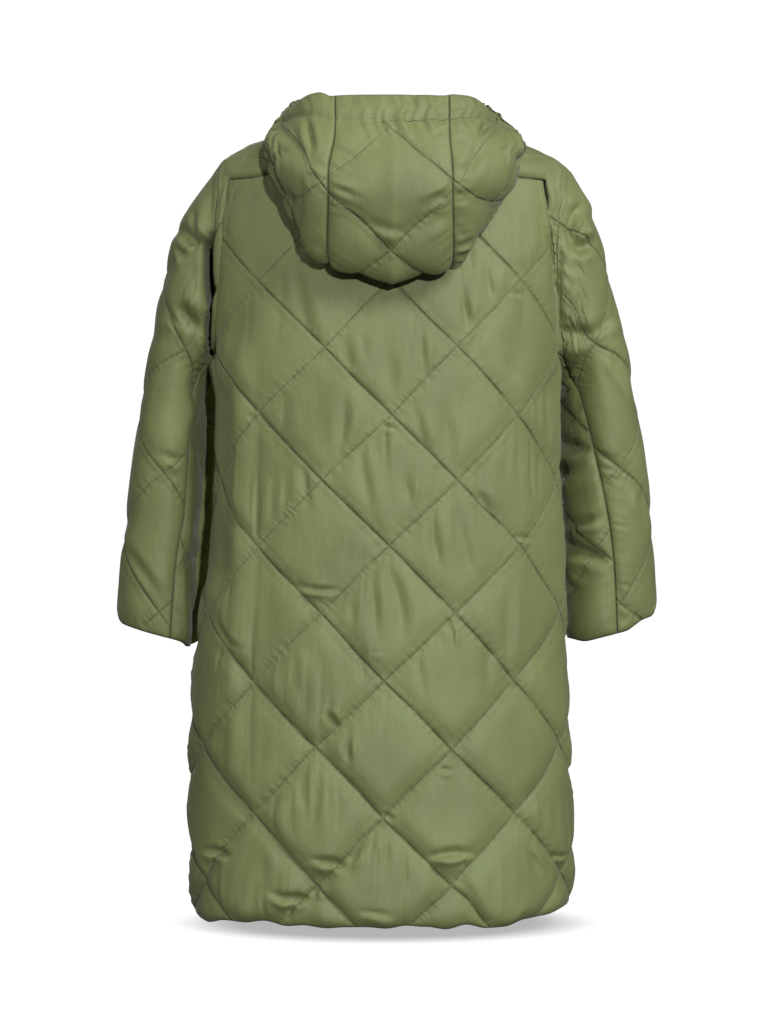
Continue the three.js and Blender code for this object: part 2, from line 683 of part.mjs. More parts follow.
function geometryOf(solid) {
  const mesh = solid.getMesh();
  const geometry = new THREE.BufferGeometry();
  geometry.setAttribute('position', new THREE.BufferAttribute(new Float32Array(mesh.vertProperties), 3));
  geometry.setIndex([...mesh.triVerts]);
  geometry.computeVertexNormals();
  return geometry;
}

const box = (width, depth, height, at) =>
  new THREE.BoxGeometry(width, depth, height).translate(at.x, at.y, at.z);

// A cylinder along X.
const rod = (radius, length, at) =>
  new THREE.CylinderGeometry(radius, radius, length, 20).rotateZ(Math.PI / 2).translate(at.x, at.y, at.z);

// The front of the tapes at the slider, and the axis that the pull tab swings on.
const TAPE_FRONT_Y = Math.min(...steps(-2, ZIP.topZ, 6).map(frontLineY)) - ZIP.tapeWall / 2;
const SLIDER_AT = point(0, TAPE_FRONT_Y - GAP - ZIP.slider.depth / 2, ZIP.slider.z);
const PULL_OUT = ZIP.slider.depth / 2 + ZIP.ear.reach - ZIP.ear.height / 2;
const PULL_AXIS = point(0, SLIDER_AT.y - PULL_OUT, ZIP.slider.z + ZIP.ear.rise);

function sliderGeometry() {
  const { ear, slider, pin } = ZIP;
  let solid = solidOf(box(slider.width, slider.depth, slider.height, SLIDER_AT));
  for (const x of [-ear.spread, ear.spread]) {
    const at = point(x, SLIDER_AT.y - slider.depth / 2 - ear.reach / 2 + 0.5, PULL_AXIS.z);
    solid = solid.add(solidOf(box(ear.width, ear.reach + 1, ear.height, at)));
  }
  return geometryOf(solid.add(solidOf(rod(pin, 2 * ear.spread, PULL_AXIS))));
}

function pullTabGeometry() {
  const { eye, tab } = ZIP;
  const plate = point(0, PULL_AXIS.y, PULL_AXIS.z - eye.inner - tab.length / 2);
  const below = point(0, PULL_AXIS.y, plate.z - eye.outer - 1);
  const solid = solidOf(rod(eye.outer, eye.width, PULL_AXIS))
    .add(solidOf(box(eye.width, tab.wall, tab.length, plate)))
    .add(solidOf(box(tab.width, tab.wall, tab.length - 2 * eye.outer - 2, below)));
  return geometryOf(solid.subtract(solidOf(rod(eye.inner, eye.width + 2, PULL_AXIS))));
}

// ---- the coat ---------------------------------------------------------------------------------

function addPiece(group, name, geometry, finish) {
  const piece = new THREE.Mesh(geometry, new THREE.MeshStandardMaterial(FINISH[finish]));
  piece.name = name;
  group.add(piece);
}

const coat = new THREE.Group();
const cloth = [backPanel(), hoodCenter()];
const tapes = [];
for (const side of ['left', 'right']) {
  cloth.push(frontPanel(side), upperSleeve(side), underSleeve(side), hoodSide(side));
  tapes.push(zipTape(side));
}
mitreSeams(cloth);
mitreSeams(tapes);
for (const piece of cloth) addPiece(coat, piece.name, closedWall(piece), 'shell');
for (const piece of tapes) addPiece(coat, piece.name, closedWall(piece), 'tape');
addPiece(coat, 'zip_slider', sliderGeometry(), 'metal');
addPiece(coat, 'zip_pull', pullTabGeometry(), 'metal');

export default coat;
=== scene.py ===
# A long diamond-quilted parka with its hood down, filled out as if worn.
# Sizes are in millimetres until a mesh is made. +Z is up, the front faces -Y and the
# wearer's left is +X. Each piece of cloth is worked out as a grid of points on the middle
# of its wall; its shell is then puffed between the quilting lines and settled as cloth.

import math

import bpy
import numpy as np
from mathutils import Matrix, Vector


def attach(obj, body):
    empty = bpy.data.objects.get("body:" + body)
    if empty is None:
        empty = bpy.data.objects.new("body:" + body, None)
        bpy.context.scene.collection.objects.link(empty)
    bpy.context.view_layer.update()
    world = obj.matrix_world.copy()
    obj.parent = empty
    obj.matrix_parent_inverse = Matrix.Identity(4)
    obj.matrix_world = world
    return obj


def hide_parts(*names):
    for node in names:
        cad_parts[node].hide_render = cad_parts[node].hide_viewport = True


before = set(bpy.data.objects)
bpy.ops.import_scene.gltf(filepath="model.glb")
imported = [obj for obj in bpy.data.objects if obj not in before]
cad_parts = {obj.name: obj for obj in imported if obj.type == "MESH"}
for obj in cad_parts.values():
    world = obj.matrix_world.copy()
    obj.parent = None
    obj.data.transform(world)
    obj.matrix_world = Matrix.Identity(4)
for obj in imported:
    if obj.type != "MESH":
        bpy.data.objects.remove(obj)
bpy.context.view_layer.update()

# ---- sizes of the coat, as in its CAD -----------------------------------------------

WALL = 8
HEM_Z, UNDERARM_Z, SADDLE_Z = -1025, -285, -48
ARMHOLE_DEPTH = 66
FRONT_EDGE_X = 7
NECK_BACK_X, NECK_BACK_Z, NECK_BACK_RISE = 75, 5, 7
NECK_FRONT_X, NECK_FRONT_Z, NECK_FRONT_RISE = 82, -60, 55
ARMHOLE_CURVE = 0.35  # how square the armhole's oval is
SADDLE_SQUARE = 2.4
RIDGE = {"neck_x": 95, "arm_x": 224, "neck_z": 28, "arm_z": -16, "bow": 0.72}
SHOULDER = {"left": -5, "right": 6}
HOOD_LEAN = -8

# height; half width, depth behind and in front of the centre, squareness of the ring
BODY = np.array([
    (-1035, 252, 149, 153, 2.3),
    (-950, 254, 150, 154, 2.3),
    (-800, 251, 149, 153, 2.3),
    (-670, 247, 148, 152, 2.3),
    (-500, 242, 147, 152, 2.3),
    (-430, 238, 147, 152, 2.3),
    (-300, 237, 146, 150, 2.4),
    (-230, 238, 142, 144, 2.5),
    (-160, 239, 133, 133, 2.6),
    (-100, 238, 117, 114, 2.7),
    (-48, 236, 96, 92, 2.8),
    (-5, 235, 82, 74, 2.8),
    (20, 234, 74, 60, 2.8),
])

# distance down the outer side; x, y, z of the ring's innermost point, its tilt from
# upright, reach, half depth, and how far it is swung forwards
SLEEVE = np.array([
    (0, 236, 0, -285, 0, 272, 66, 0),
    (42, 237, -3, -288, 3.8, 242, 66, 0),
    (81, 237.5, -7, -290, 9.2, 212, 67, 1),
    (124, 238, -12, -292, 16, 178, 69, 2),
    (166, 238.5, -18, -294, 24.4, 146, 72, 4),
    (208, 239, -26, -297, 37, 118, 76, 6),
    (250, 239, -34, -301, 55, 98, 80, 9),
    (291, 239, -42, -308, 74, 92, 84, 12),
    (333, 239.5, -48, -332, 85, 95, 86, 14),
    (415, 241, -54, -406, 90, 107, 85, 15),
    (511, 244, -58, -504, 89, 116, 79, 15),
    (601, 246, -62, -604, 84, 121, 72, 15),
    (641, 248, -65, -662, 75, 124, 68, 15),
])
SLEEVE_SQUARE = 2.2
ARM_BLEND = 124
SADDLE_ANGLE, FRONT_SEAM, BACK_SEAM_TOP = 42, -150, 160
# distance down the outer side; angle of the back seam round the sleeve
BACK_SEAM = {
    "left": np.array([
        (0, 160), (250, 162), (333, 156), (432, 145), (487, 135), (585, 121), (641, 116),
    ]),
    "right": np.array([
        (0, 160), (290, 161), (340, 144), (400, 129), (487, 111), (562, 102), (641, 98),
    ]),
}

HOOD_SEAM, NECK_BACK_END, NECK_FRONT_START = 0.2, 0.3, 0.75
# climb from the neckline to the rim; for each, the way round and x, y, z
HOOD_RAILS = {
    0.08: [(0, 0, 88, 26), (0.2, 52, 86, 28), (0.3, 80, 78, 31), (0.42, 96, 57, 37),
           (0.47, 100, 35, 37), (0.525, 100, 1, 33), (0.64, 94, -54, 25), (0.75, 87, -76, 8),
           (1, 7, -97, -46)],
    0.3: [(0, 0, 150, -90), (0.2, 62, 146, -84), (0.3, 98, 131, -58), (0.42, 128, 94, -4),
          (0.47, 112, 50, 38), (0.525, 105, 2, 40), (0.64, 98, -55, 33), (0.75, 90, -79, 15),
          (1, 7, -100, -34)],
    0.52: [(0, 0, 190, -187), (0.2, 73, 184, -165), (0.3, 121, 168, -120), (0.42, 157, 126, -40),
           (0.47, 132, 70, 26), (0.525, 107, 3, 46), (0.64, 99, -56, 40), (0.75, 91, -81, 24),
           (1, 7, -103, -16)],
    0.75: [(0, 0, 224, -82), (0.2, 73, 217, -78), (0.3, 126, 192, -52), (0.42, 161, 128, -6),
           (0.47, 134, 66, 42), (0.525, 106, 4, 52), (0.64, 98, -56, 46), (0.75, 89, -81, 34),
           (1, 7, -105, 2)],
    1: [(0, 0, 168, 50), (0.2, 73, 161, 50), (0.3, 104, 141, 48), (0.42, 130, 84, 36),
        (0.47, 117, 44, 52), (0.525, 102, 5, 57), (0.64, 94, -54, 53), (0.75, 82, -76, 44),
        (1, 7, -103, 22)],
}


def mix(a, b, t):
    return a + (b - a) * t


def power(value, exponent):
    return np.sign(value) * np.abs(value) ** exponent


def stack(*parts):
    return np.stack(np.broadcast_arrays(*parts), -1).astype(float)


def past(value, start, run):
    """0 up to `start`, then rising evenly to 1 over `run`."""
    return np.clip((value - start) / run, 0, 1)


def bell(value, width):
    """1 at 0, falling to nothing a little beyond `width` on both sides."""
    return np.exp(-(value / width) ** 2)


def through(knots, values, at):
    """A smooth curve through the values at the knots, read at each `at`. Values may have a
    set for each place that is read, as their second axis."""
    at = np.clip(np.ravel(at), knots[0], knots[-1])
    i = np.clip(np.searchsorted(knots, at) - 1, 0, len(knots) - 2)
    before, after = np.maximum(i - 1, 0), np.minimum(i + 2, len(knots) - 1)
    if values.ndim == 3:
        each = np.arange(len(at))
        p, q, p_before, q_after = (values[k, each] for k in (i, i + 1, before, after))
    else:
        p, q, p_before, q_after = (values[k] for k in (i, i + 1, before, after))
    span = (knots[i + 1] - knots[i])[:, None]
    slope_p = (q - p_before) / (knots[i + 1] - knots[before])[:, None] * span
    slope_q = (q_after - p) / (knots[after] - knots[i])[:, None] * span
    t = (at - knots[i])[:, None] / span
    return ((2 * t**3 - 3 * t**2 + 1) * p + (t**3 - 2 * t**2 + t) * slope_p
            + (3 * t**2 - 2 * t**3) * q + (t**3 - t**2) * slope_q)


# ---- the coat's surface: the middle of its wall ----------------------------------------

def body_ring(face, z):
    """Half width, depth and squareness of the body at each height."""
    row = through(BODY[:, 0], BODY[:, 1:], z)
    return row[:, 0] - WALL / 2, row[:, 1 if face == "back" else 2] - WALL / 2, row[:, 3]


def depth_at(face, x, z):
    half, depth, square = body_ring(face, z)
    return depth * np.maximum(0, 1 - (np.abs(x) / half) ** square) ** (1 / square)


def width_at(face, y, z):
    half, depth, square = body_ring(face, z)
    return half * np.maximum(0, 1 - (np.abs(y) / depth) ** square) ** (1 / square)


def quarter_rings(face, z):
    """For each height, a quarter ring as a fine line from the centre: x, y, running length."""
    half, depth, square = (v[:, None] for v in body_ring(face, z))
    angle = np.radians(np.linspace(0, 90, 97))[None]
    x = half * np.sin(angle) ** (2 / square)
    y = depth * np.maximum(0, np.cos(angle)) ** (2 / square)
    steps = np.hypot(np.diff(x, axis=1, prepend=0), np.diff(y, axis=1, prepend=depth))
    return x, y, np.cumsum(steps, axis=1)


def lookup(table, other, value):
    """Row by row, what `other` is where `table` reaches `value`."""
    i = np.clip((table < value[:, None]).sum(1), 1, table.shape[1] - 1)
    n = np.arange(len(i))
    t = (value - table[n, i - 1]) / (table[n, i] - table[n, i - 1])
    return mix(other[n, i - 1], other[n, i], t)


def share_at(face, x, z):
    """How far round the quarter ring a place lies, 0 at the centre line and 1 at the side."""
    x, z = (np.ravel(v).astype(float) for v in np.broadcast_arrays(x, z))
    line_x, _, run = quarter_rings(face, z)
    return lookup(line_x, run, x) / run[:, -1]


def body_point(face, share, z):
    """The place that share of the way round the quarter ring, and its distance round."""
    line_x, line_y, run = quarter_rings(face, z)
    at = np.minimum(share, 1) * run[:, -1]
    y = lookup(run, line_y, at)
    return stack(lookup(run, line_x, at), y if face == "back" else -y, z), at


def cosine(degrees):
    return np.cos(np.radians(degrees))


def sine(degrees):
    return np.sin(np.radians(degrees))


ARMHOLE_MID_Z = UNDERARM_Z + (SADDLE_Z - UNDERARM_Z) / (1 + cosine(SADDLE_ANGLE))


def armhole_point(angle):
    """A place on the armhole: 180 at the underarm, 0 at the top, below 0 in front."""
    z = ARMHOLE_MID_Z + (ARMHOLE_MID_Z - UNDERARM_Z) * cosine(angle)
    y = ARMHOLE_DEPTH * np.maximum(np.abs(sine(angle)), 1e-9) ** ARMHOLE_CURVE
    x = np.where(angle > 0, width_at("back", y, z), width_at("front", y, z))
    return stack(x, np.where(angle > 0, y, -y), z)


ARM_X = {
    "back": armhole_point(np.array([SADDLE_ANGLE]))[0, 0],
    "front": armhole_point(np.array([-SADDLE_ANGLE]))[0, 0],
}


def back_neck_z(x):
    return NECK_BACK_Z + NECK_BACK_RISE * (x / NECK_BACK_X) ** 2


def front_neck_z(share):
    """Height of the front neckline, from the shoulder (0) to the front edge (1)."""
    return NECK_FRONT_Z + NECK_FRONT_RISE * (1 - share) ** 1.7


def saddle_seam(face, along):
    """The seam between the saddle and the body, from the armhole (0) to the neck (1)."""
    if face == "back":
        neck_x, neck_z, rise = NECK_BACK_X, back_neck_z(NECK_BACK_X), 3
    else:
        neck_x, neck_z, rise = NECK_FRONT_X, front_neck_z(0), 2.5
    x = mix(ARM_X[face], neck_x, along)
    z = mix(SADDLE_Z, neck_z, along ** rise)
    y = depth_at(face, x, z)
    return stack(x, y if face == "back" else -y, z)


def saddle_point(side, angle, along):
    """A place on the saddle, which runs over the shoulder between its seams behind and in front."""
    seam = np.where((angle >= 0)[:, None], saddle_seam("back", along), saddle_seam("front", along))
    swing = np.abs(angle) / SADDLE_ANGLE * 90
    ridge_x = mix(RIDGE["arm_x"], RIDGE["neck_x"], along) + SHOULDER[side] * (1 - along)
    ridge_z = mix(RIDGE["arm_z"], RIDGE["neck_z"], along ** RIDGE["bow"]) - WALL / 2
    return stack(
        mix(ridge_x, seam[:, 0], sine(swing) ** 2),
        seam[:, 1] * sine(swing) ** (2 / SADDLE_SQUARE),
        mix(seam[:, 2], ridge_z, np.maximum(0, cosine(swing)) ** (2 / SADDLE_SQUARE)),
    )


def neck_point(side, way):
    """The neckline: `way` runs from the centre behind (0) to the front edge (1)."""
    back_x = way / NECK_BACK_END * NECK_BACK_X
    back_z = back_neck_z(back_x)
    back = stack(back_x, depth_at("back", np.minimum(back_x, 200), back_z), back_z)
    t = past(way, NECK_BACK_END, NECK_FRONT_START - NECK_BACK_END)
    saddle = saddle_point(side, mix(SADDLE_ANGLE, -SADDLE_ANGLE, t), np.ones_like(t))
    t = past(way, NECK_FRONT_START, 1 - NECK_FRONT_START)
    front_x = mix(NECK_FRONT_X, FRONT_EDGE_X, t)
    front_z = front_neck_z(t)
    front = stack(front_x, -depth_at("front", front_x, front_z), front_z)
    way = way[:, None]
    return np.where(way <= NECK_BACK_END, back, np.where(way < NECK_FRONT_START, saddle, front))


def sleeve_ring(side, angle, at):
    """A place on the sleeve's tube: 0 on its outer side, 90 behind, -90 in front."""
    x, y, z, tilt, reach, depth, turn = through(SLEEVE[:, 0], SLEEVE[:, 1:], at).T
    reach = reach + SHOULDER[side] * np.maximum(0, 1 - at / SLEEVE[5, 0])
    outwards = stack(sine(tilt), 0 * tilt, cosine(tilt))
    backwards = np.array([0.0, 1.0, 0.0])
    cos_turn, sin_turn = cosine(turn)[:, None], sine(turn)[:, None]
    long = outwards * cos_turn - backwards * sin_turn
    wide = backwards * cos_turn + outwards * sin_turn
    half = (reach / 2)[:, None]
    centre = stack(x, y, z) + outwards * half
    return (centre + long * (half - WALL / 2) * power(cosine(angle), 2 / SLEEVE_SQUARE)[:, None]
            + wide * (depth[:, None] - WALL / 2) * power(sine(angle), 2 / SLEEVE_SQUARE)[:, None])


def sleeve_point(side, label, at):
    """A place on the sleeve, where `label` keeps to the cloth as the back seam turns round the
    arm, and the top of the sleeve is led over to the armhole and the saddle."""
    seam = through(BACK_SEAM[side][:, 0], BACK_SEAM[side][:, 1:], at)[:, 0]
    under = (label - BACK_SEAM_TOP) / (360 + FRONT_SEAM - BACK_SEAM_TOP)
    upper = np.where(label > 0, label * seam / BACK_SEAM_TOP, label)
    angle = np.where(label > BACK_SEAM_TOP, mix(seam, 360 + FRONT_SEAM, under), upper)
    ring = sleeve_ring(side, angle, at)
    wrapped = np.where(label > 180, label - 360, label)
    on_saddle = (np.abs(wrapped) <= SADDLE_ANGLE)[:, None]
    folded = np.clip(wrapped, -SADDLE_ANGLE, SADDLE_ANGLE)
    start = np.where(on_saddle, saddle_point(side, folded, np.zeros_like(at)), armhole_point(wrapped))
    t = np.clip(at / ARM_BLEND, 0, 1)[:, None]
    return ring + (start - sleeve_ring(side, label, 0 * at)) * (1 - t) ** 2 * (1 + 0.6 * t)


def hood_point(side, way, climb):
    """A place on the hood: `way` round the neck and `climb` from the neckline to the rim."""
    stations = [neck_point(side, way)]
    for points in HOOD_RAILS.values():
        rail = np.array(points, float)
        stations.append(through(rail[:, 0], rail[:, 1:], way))
    return through(np.array([0, *HOOD_RAILS]), np.array(stations), climb)


def hood_slide(way, climb):
    """How far the hood leans to one side."""
    back = np.clip((NECK_FRONT_START - way) / (NECK_FRONT_START - HOOD_SEAM), 0, 1)
    return HOOD_LEAN * back * np.minimum(1, climb * 2.5)


# ---- pieces of cloth as grids of points ------------------------------------------------
# A panel is a grid of points with `s` and `t`, where each lies on the flat cloth: s across
# it and t up it. Both counts are odd, so that its lining can use every second point.

def lengths(grid, axis):
    """Running length along the rows (axis 1) or the columns (axis 0) of a grid."""
    step = np.linalg.norm(np.diff(grid, axis=axis), axis=2)
    return np.concatenate([np.zeros_like(np.take(step, [0], axis)), np.cumsum(step, axis)], axis)


def normals(grid, outwards):
    """Unit normals on the side that `outwards` points to, and -1 where that turned them."""
    n = np.cross(np.gradient(grid, axis=0), np.gradient(grid, axis=1))
    n /= np.linalg.norm(n, axis=2, keepdims=True) + 1e-12
    turn = 1.0 if np.sum(n * outwards) > 0 else -1.0
    return n * turn, turn


def bump(value, low, high, soft):
    """1 between low and high, falling softly to 0 over `soft` on both sides."""
    rise = np.clip((value - low) / soft + 1, 0, 1) * np.clip((high - value) / soft + 1, 0, 1)
    return rise * rise * (3 - 2 * rise)


def hood_hang(x, y, z):
    """The hood lies close to the back below. Its right side stands out over the shoulder, its
    left side and its tip are drawn in, both seams bow outwards and the rim dips behind."""
    wide = 10 * bump(z, -14, 8, 16) * past(-x, 120, 40)
    wide += 10 * bump(z, -150, -40, 40) * past(x, 95, 45)
    wide -= 6 * bump(z, -170, -100, 40) * past(-x, 85, 40)
    bowed = bump(z, -150, -60, 60) * (9 * bump(x, 62, 82, 30) - 4 * bump(-x, 65, 90, 30))
    close = 18 * bump(z, -300, -125, 90)
    corner = 4 * bump(x, 86, 120, 14) * bump(z, 32, 90, 24)
    dip = 2 * bump(x, -75, 70, 10) * bump(z, 40, 90, 20)
    return x - wide + bowed, y - close, z + (corner - dip)


def armhole_folds(x, y, z):
    """The cloth folds in deeply behind the left armhole, and a little behind the right one."""
    seam = np.interp(z, [-290, -146, -108, -68], [236, 234, 229, 217])
    fold = np.exp(-((x - seam) / 10) ** 4) * bump(z, -258, -150, 40)
    y = y - 76 * fold * past(y, -25, 45)
    seam = np.interp(z, [-290, -200, -110], [-236, -226, -219])
    fold = bell(x - seam, 9) * bump(z, -260, -135, 40) * (y > 10)
    return x, y - 9 * fold, z


def sleeve_hang(x, y, z, side):
    """The left sleeve's inner wall stands away from the body behind and comes close to it in
    front, its outer side is drawn in, the right shoulder stands out and both cuffs drop."""
    away = (13 + 11 * past(-z, 470, 120)) * bump(x, 0, 240, 45) * bump(y, -95, 200, 25)
    away = away * bump(z, -700, -340, 70)
    near = 16 * bump(x, 200, 262, 30) * bump(y, -140, -104, 16) * bump(z, -620, -320, 45)
    slim = past(x, 245, 55) * (5 + 6 * bump(z, -490, -260, 60))
    shoulder = past(-x, 245, 55) * 3 - 8 * bump(z, -72, -36, 25) * past(-x, 190, 40)
    drop = 11 + 5 * past(-x, -265, 60) if side == "left" else 9 * bump(-x, 275, 325, 28)
    return x + away - near - slim + shoulder, y, z - drop * past(-z, 540, 100)


def body_hang(x, y, z):
    """Both sides are drawn in beside the sleeves, the lower half sways to the left, and the hem
    is lifted at the right, lowered at the left and a little wavy."""
    drawn = bump(x, 222, 400, 30) * 9 - bump(-x, 214, 400, 40) * 5
    y = y + 9 * bump(x, 196, 226, 34) * bump(z, -760, -330, 90) * (y > 0)
    x = x - drawn * bump(z, -560, -345, 55) * bump(y, 0, 300, 50)
    x = x - 5 * bump(z, -1100, -940, 60) * past(x, 200, 40)
    x = x + 8 * past(-z, 540, 160) * past(y, -110, 80)
    low = bump(z, -1100, -1020, 190)
    lift = 8 * past(-x, 130, 110) ** 2 - 5 * past(x, 170, 60)
    z = z + low * (lift - 5 * bump(x, -130, 90, 110) * (y > 0))
    z = z + 3.5 * low * noise(x / 26 + 40, y / 60 + 40, 9)
    return x, y, z


def hang(grid, name):
    """Moves the points of a piece to where its cloth hangs, unevenly, from the shoulders."""
    place = [grid[..., k] for k in range(3)]
    if name.startswith("hood"):
        place = hood_hang(*place)
    elif name.startswith("sleeve"):
        place = sleeve_hang(*armhole_folds(*place), name.split("_")[1])
    else:
        place = body_hang(*armhole_folds(*place))
    return np.stack(place, -1)


def panel(name, grid, s, t, outwards, cells=None):
    """One piece of cloth. `cells` says where, in steps of two points, its grid has cloth."""
    grid = hang(grid, name)
    out, turn = normals(grid, outwards)
    rows, cols = grid.shape[:2]
    cells = np.ones((rows // 2, cols // 2), bool) if cells is None else cells
    points = np.zeros((rows, cols), bool)
    fine = np.kron(cells, np.ones((2, 2), bool))
    for dr in (0, 1):
        for dc in (0, 1):
            points[dr:rows - 1 + dr, dc:cols - 1 + dc] |= fine
    return {"name": name, "grid": grid, "s": s, "t": t, "out": out, "turn": turn, "cells": cells,
            "fine": fine, "points": points, "edge": edge_distance(grid, fine, points)}


def edge_distance(grid, fine, points):
    """How far each point is from the edge of its piece, as far as 14 steps of the grid."""
    whole = np.pad(fine, 1)
    inner = whole[:-1, :-1] & whole[1:, :-1] & whole[:-1, 1:] & whole[1:, 1:]
    far = np.where(inner, 1e3, 0.0)
    across = np.linalg.norm(np.diff(grid, axis=1), axis=2)
    down = np.linalg.norm(np.diff(grid, axis=0), axis=2)
    for _ in range(14):
        far[:, 1:] = np.minimum(far[:, 1:], far[:, :-1] + across)
        far[:, :-1] = np.minimum(far[:, :-1], far[:, 1:] + across)
        far[1:] = np.minimum(far[1:], far[:-1] + down)
        far[:-1] = np.minimum(far[:-1], far[1:] + down)
    return np.where(points, np.minimum(far, 60), 0)


QUARTER_RUN = 325  # a quarter of the way round the body, which sets the number of columns
LEVEL = np.array([1.0, 1.0, 0])


def body_grid(face, spacing):
    """Half a body panel from the centre line (first column) to the armhole and side seam."""
    start_x = 0 if face == "back" else FRONT_EDGE_X
    neck_x = NECK_BACK_X if face == "back" else NECK_FRONT_X
    # the top edge: the neckline, then the saddle's seam, in even steps along the cloth
    x = np.linspace(start_x, ARM_X[face], 400)
    t = np.clip((neck_x - x) / (neck_x - start_x), 0, 1)
    neck_z = back_neck_z(x) if face == "back" else front_neck_z(t)
    along = np.clip((ARM_X[face] - x) / (ARM_X[face] - neck_x), 0, 1)
    top_z = np.where(x <= neck_x, neck_z, saddle_seam(face, along)[:, 2])
    begin = share_at(face, start_x, top_z)
    top_share = (share_at(face, x, top_z) - begin) / (share_at(face, ARM_X[face], top_z) - begin)
    cols = 2 * round(QUARTER_RUN / spacing / 2) + 1
    even = np.linspace(0, 1, cols)
    top_z = np.interp(even, top_share, top_z)
    # the rows: level from the hem to the underarm, then spread up to the top edge
    rows = 2 * round((SADDLE_Z - HEM_Z) / spacing / 2) + 1
    edge_z = np.linspace(SADDLE_Z, HEM_Z, rows)
    rise = np.maximum(0, (edge_z - UNDERARM_Z) / (SADDLE_Z - UNDERARM_Z))
    z = edge_z[:, None] + (top_z - SADDLE_Z)[None] * rise[:, None]
    # the outer edge: the armhole above the underarm, and the side seam below it
    cos = np.clip((z - ARMHOLE_MID_Z) / (ARMHOLE_MID_Z - UNDERARM_Z), -1, 1)
    angle = np.maximum(SADDLE_ANGLE, np.degrees(np.arccos(cos)))
    y = ARMHOLE_DEPTH * np.maximum(sine(angle), 1e-9) ** ARMHOLE_CURVE
    shape, flat = z.shape, z.ravel()
    edge_x = np.where(flat > SADDLE_Z, ARM_X[face], width_at(face, y.ravel(), flat))
    edge_share = np.where(flat > UNDERARM_Z + 1e-6, share_at(face, edge_x, flat), 1.0)
    # the columns inside keep to a softer line than the armhole's, so that cells stay even
    level = past(flat, UNDERARM_Z, SADDLE_Z - UNDERARM_Z)
    soft_y = ARMHOLE_DEPTH * sine(SADDLE_ANGLE) ** ARMHOLE_CURVE * level ** 0.8
    soft_x = np.where(flat > SADDLE_Z, ARM_X[face], width_at(face, soft_y, flat))
    soft_share = np.where(flat > UNDERARM_Z + 1e-6, share_at(face, soft_x, flat), 1.0)
    even = np.broadcast_to(even, shape).ravel()
    share = mix(share_at(face, start_x, flat), mix(soft_share, edge_share, even**8), even)
    place, run = body_point(face, share, flat)
    return place.reshape(*shape, 3), run.reshape(shape), z


def mirrored(points):
    return points * np.array([-1.0, 1.0, 1.0])


def make_back(spacing):
    half, s, z = body_grid("back", spacing)
    grid = np.concatenate([half[:, ::-1], mirrored(half)[:, 1:]], axis=1)
    s = np.concatenate([s[:, ::-1], -s[:, 1:]], axis=1)
    z = np.concatenate([z[:, ::-1], z[:, 1:]], axis=1)
    return panel("back", grid, s, z, grid * LEVEL)


def make_front(side, spacing):
    grid, s, z = body_grid("front", spacing)
    if side == "right":
        grid, s = mirrored(grid), -s
    return panel(f"front_{side}", grid, s, z, grid * LEVEL)


# rows and columns of the sleeves' and the hood's grids
SADDLE_ROWS, SADDLE_COLS, FRONT_COLS, BACK_COLS, UNDER_COLS = 44, 36, 44, 50, 22
ARM_ROWS = 212
HOOD_ROWS, HOOD_SIDE_COLS, HOOD_CENTER_COLS = 161, 111, 53
UNDER_SLEEVE_S, HOOD_SIDE_S = 170, 74  # where these pieces start on the flat cloth


def sleeve_place(side, label, row):
    """Rows below 0 climb the saddle to the neck; the others go down the arm."""
    label, row = (np.ravel(v).astype(float) for v in np.broadcast_arrays(label, row))
    along = np.clip(-row / SADDLE_ROWS, 0, 1)
    at = np.clip(row / ARM_ROWS, 0, 1) * SLEEVE[-1, 0]
    on_saddle = row < 0
    folded = np.clip(label, -SADDLE_ANGLE, SADDLE_ANGLE)
    saddle, sleeve = saddle_point(side, folded, along), sleeve_point(side, label, at)
    place = np.where(on_saddle[:, None], saddle, sleeve)
    return place if side == "left" else mirrored(place)


def make_sleeve(side, part):
    if part == "upper":
        labels = np.concatenate([
            np.linspace(FRONT_SEAM, -SADDLE_ANGLE, FRONT_COLS + 1)[:-1],
            np.linspace(-SADDLE_ANGLE, SADDLE_ANGLE, SADDLE_COLS + 1)[:-1],
            np.linspace(SADDLE_ANGLE, BACK_SEAM_TOP, BACK_COLS + 1),
        ])
        rows = np.arange(-SADDLE_ROWS, ARM_ROWS + 1)
        cells = np.ones((len(rows) // 2, len(labels) // 2), bool)
        cells[:SADDLE_ROWS // 2, :FRONT_COLS // 2] = False
        cells[:SADDLE_ROWS // 2, (FRONT_COLS + SADDLE_COLS) // 2:] = False
    else:
        labels = np.linspace(BACK_SEAM_TOP, 360 + FRONT_SEAM, UNDER_COLS + 1)
        rows = np.arange(0, ARM_ROWS + 1)
        cells = None
    grid = sleeve_place(side, labels[None], rows[:, None])
    grid = grid.reshape(len(rows), len(labels), 3)
    middle = sleeve_place(side, 0.0, rows)
    opposite = sleeve_place(side, 180.0, rows)
    centre = (middle + opposite) / 2
    centre[rows < 0] = middle[rows < 0] - np.array([0, 0, 60])  # the saddle faces upwards
    ridge = int(np.argmin(np.abs(labels)))
    around = lengths(grid, 1)
    s = around - around[:, [ridge]] if part == "upper" else around + UNDER_SLEEVE_S
    s = -s if side == "left" else s
    up = lengths(grid[::-1], 0)[::-1]
    t = up - SLEEVE[-1, 0]
    name = f"sleeve_{side}_{part}"
    return panel(name, grid, s, t, grid - centre[:, None], cells)


